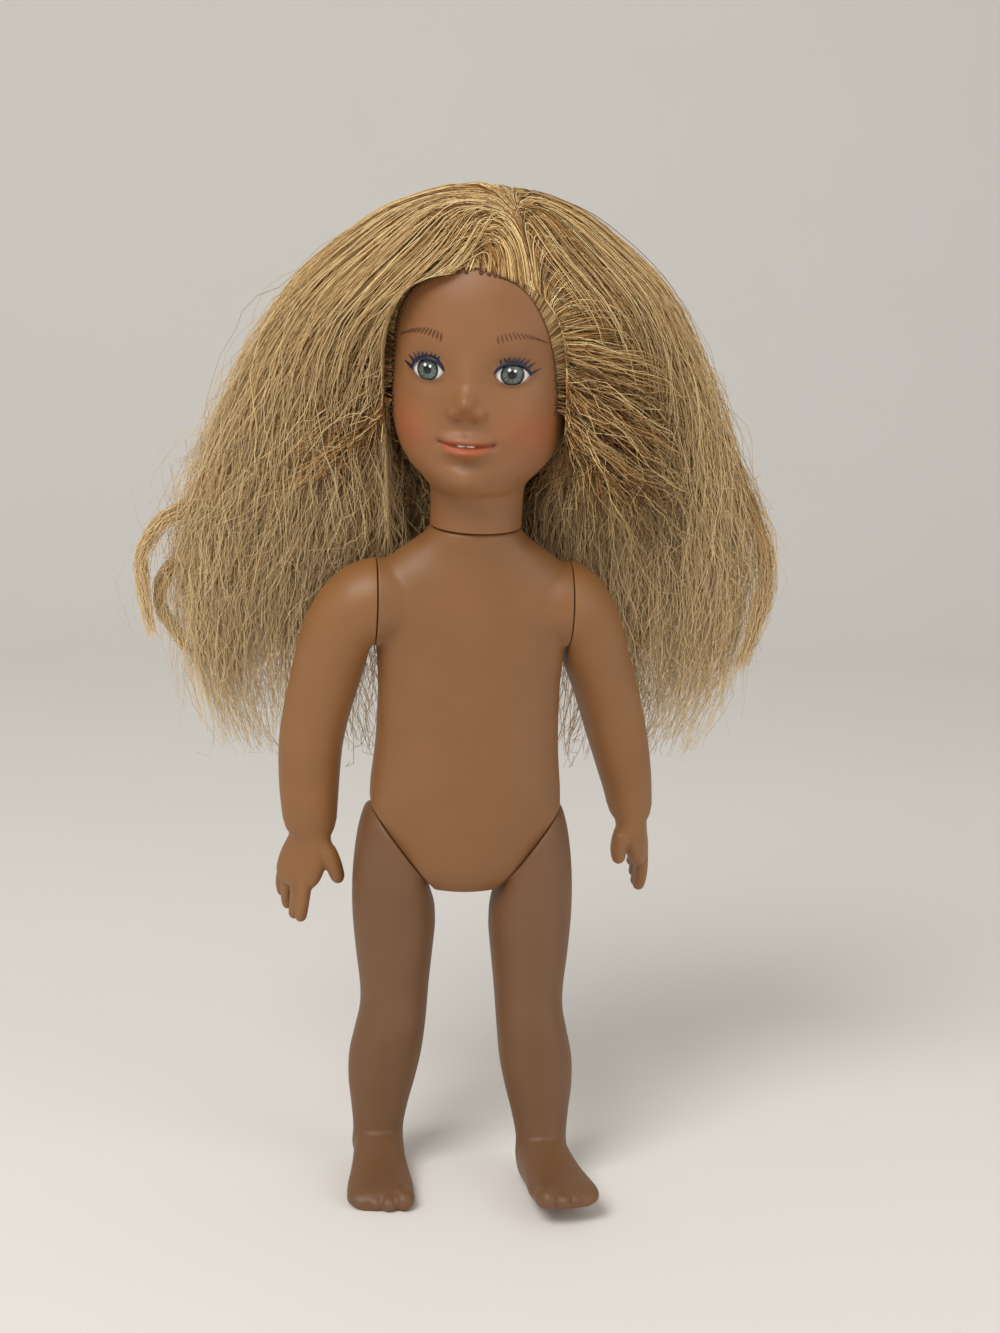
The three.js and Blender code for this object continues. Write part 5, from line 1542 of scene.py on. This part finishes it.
# %% [markdown]
# The scalp itself shows at the hairline, where plugs of hair stand in a row, and under the
# strands. A thin cap in the colour of shaded hair covers it, and the plugs are as dark: painted
# shade.

# %% Crown
form = wrapped(head_surface, 96, 90)
points = vertex_places(form)
middle = np.array([0, 0, 24.0])
ahead = points[:, 1] < 2
rise = np.abs(points[:, 2] / HEAD_HEIGHT - HAIRLINE_UP) / HAIRLINE_RISE
oval = np.cbrt(np.abs(points[:, 0] / (0.493 * HEAD_WIDTH)) ** 3 + rise**3)
bare = (ahead & (oval < 1)) | (points[:, 2] < 14) | ((points[:, 1] < 4) & (points[:, 2] < 21))
raised = points + (points - middle) / np.linalg.norm(points - middle, axis=1)[:, None] * 0.5
set_places(form, raised)
bmesh.ops.delete(form, geom=[v for v, off in zip(form.verts, bare) if off], context="VERTS")
piece("scalp_cap", form, head_frame, mat_fibre_and_shade, "head", ["hair_crown"])

PLUG_TURN, PLUGS = 1.62, 78
turns = np.linspace(-PLUG_TURN, PLUG_TURN, PLUGS)
edge_x, edge_z = hairline(turns)
edge_y = 5 * (turns / PLUG_TURN) ** 2 - 13
edge = np.stack([edge_x, edge_y, edge_z - SCALP_MIDDLE[2]], -1)
edge = on_scalp(edge / np.linalg.norm(edge, axis=1)[:, None], 0.1)
plugs = joined([ball(place, (0.3, 0.3, 0.3), 8, 6) for place in edge])
# The plugs' dark colour is painted shade, given with the even film of the printed enamel.
root_shade_enamel = enamel("shaded_hair_roots", "#5A3D20", 0.6)
piece("hair_plugs", plugs, head_frame, root_shade_enamel, "head", [])

# %% [markdown]
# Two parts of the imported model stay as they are, because they are hidden: the neck plug, moulded in
# natural nylon, and the knotted roots inside the scalp.


# %% Hidden parts
def plain(name, colour, other, size, roughness):
    return drifting(name, linear(colour), linear(other), size, roughness)


hidden = {
    "neck_plug": plain("moulded_nylon", "#D8D0BF", "#CFC6B3", 4, 0.4),
    "root_lining": plain("knotted_roots", "#6B4A22", "#A47C45", 0.8, 0.7),
}
for name, material in hidden.items():
    node = bpy.data.objects[name]
    node.data.materials.clear()
    node.data.materials.append(material)

# %% [markdown]
# The doll stands on a sheet of pale matt card that sweeps up behind it. One large soft lamp ahead
# and to the left and a weak one on the right give the round shading of a studio, under a white sky.


# %% Floor, light and camera
def lamp(name, place, size, power, aim):
    light = bpy.data.lights.new(name, "AREA")
    light.shape = "DISK"
    light.size = size
    light.energy = power
    thing = linked(name, light)
    thing.location = place
    thing.rotation_euler = (Vector(aim) - Vector(place)).to_track_quat("-Z", "Y").to_euler()


CARD_WIDTH, CARD_FRONT, CARD_TOP = 5, -1.2, 1.6  # in metres, as all of the stage
BACK_START, BACK_RADIUS = 0.5, 0.35
sweep = [(CARD_FRONT, 0.0), (BACK_START, 0.0)]
for turn in np.linspace(0, math.pi / 2, 14)[1:]:
    sweep.append((BACK_START + BACK_RADIUS * math.sin(turn), BACK_RADIUS * (1 - math.cos(turn))))
sweep.append((BACK_START + BACK_RADIUS, CARD_TOP))
floor_form = bmesh.new()
line = [floor_form.verts.new((-CARD_WIDTH / 2, y, z)) for y, z in sweep]
edges = [floor_form.edges.new(pair) for pair in zip(line, line[1:])]
bmesh.ops.extrude_edge_only(floor_form, edges=edges)
for vertex in set(floor_form.verts) - set(line):
    vertex.co.x += CARD_WIDTH
bmesh.ops.recalc_face_normals(floor_form, faces=floor_form.faces)
floor_mesh = mesh_of(floor_form, "floor")
floor = linked("floor", floor_mesh)
floor_mesh.polygons.foreach_set("use_smooth", np.ones(len(floor_mesh.polygons), bool))
floor_mesh.materials.append(plain("pale_card", "#F1ECE4", "#F4EFE8", 60, 0.75))

KEY_WATTS, FILL_WATTS, SKY_STRENGTH = 3.6, 0.8, 0.42
lamp("key", (-0.32, -0.42, 0.62), 0.42, KEY_WATTS, (0, 0, 0.1))
lamp("fill", (0.5, -0.4, 0.25), 0.5, FILL_WATTS, (0, 0, 0.09))
world = bpy.data.worlds.new("soft_sky")
bpy.context.scene.world = world
world.use_nodes = True
sky = world.node_tree.nodes["Background"]
sky.inputs["Color"].default_value = (1, 1, 1, 1)
sky.inputs["Strength"].default_value = SKY_STRENGTH
bpy.context.scene.view_settings.view_transform = "Standard"

DISTANCE, EYE_HEIGHT = 359.2, 150.3
TURN, OFF_CENTRE, PITCH, ROLL = (math.radians(angle) for angle in (6, 0.84, 10.1, 1.79))
STANDS_X, STANDS_Y = 0.88, 4.471
camera = bpy.data.cameras.new("camera")
camera.sensor_fit = "VERTICAL"
camera.sensor_height = 24
camera.lens = 40.2
camera.clip_start = 0.01
view = linked("camera", camera)
place = Vector(
    (STANDS_X - DISTANCE * math.sin(TURN), STANDS_Y - DISTANCE * math.cos(TURN), EYE_HEIGHT)
)
heading = Matrix.Rotation(-TURN - OFF_CENTRE, 4, "Z")
tip = Matrix.Rotation(math.pi / 2 - PITCH, 4, "X")
view.matrix_world = Matrix.Translation(place * MM) @ heading @ tip @ Matrix.Rotation(ROLL, 4, "Z")
bpy.context.scene.camera = view
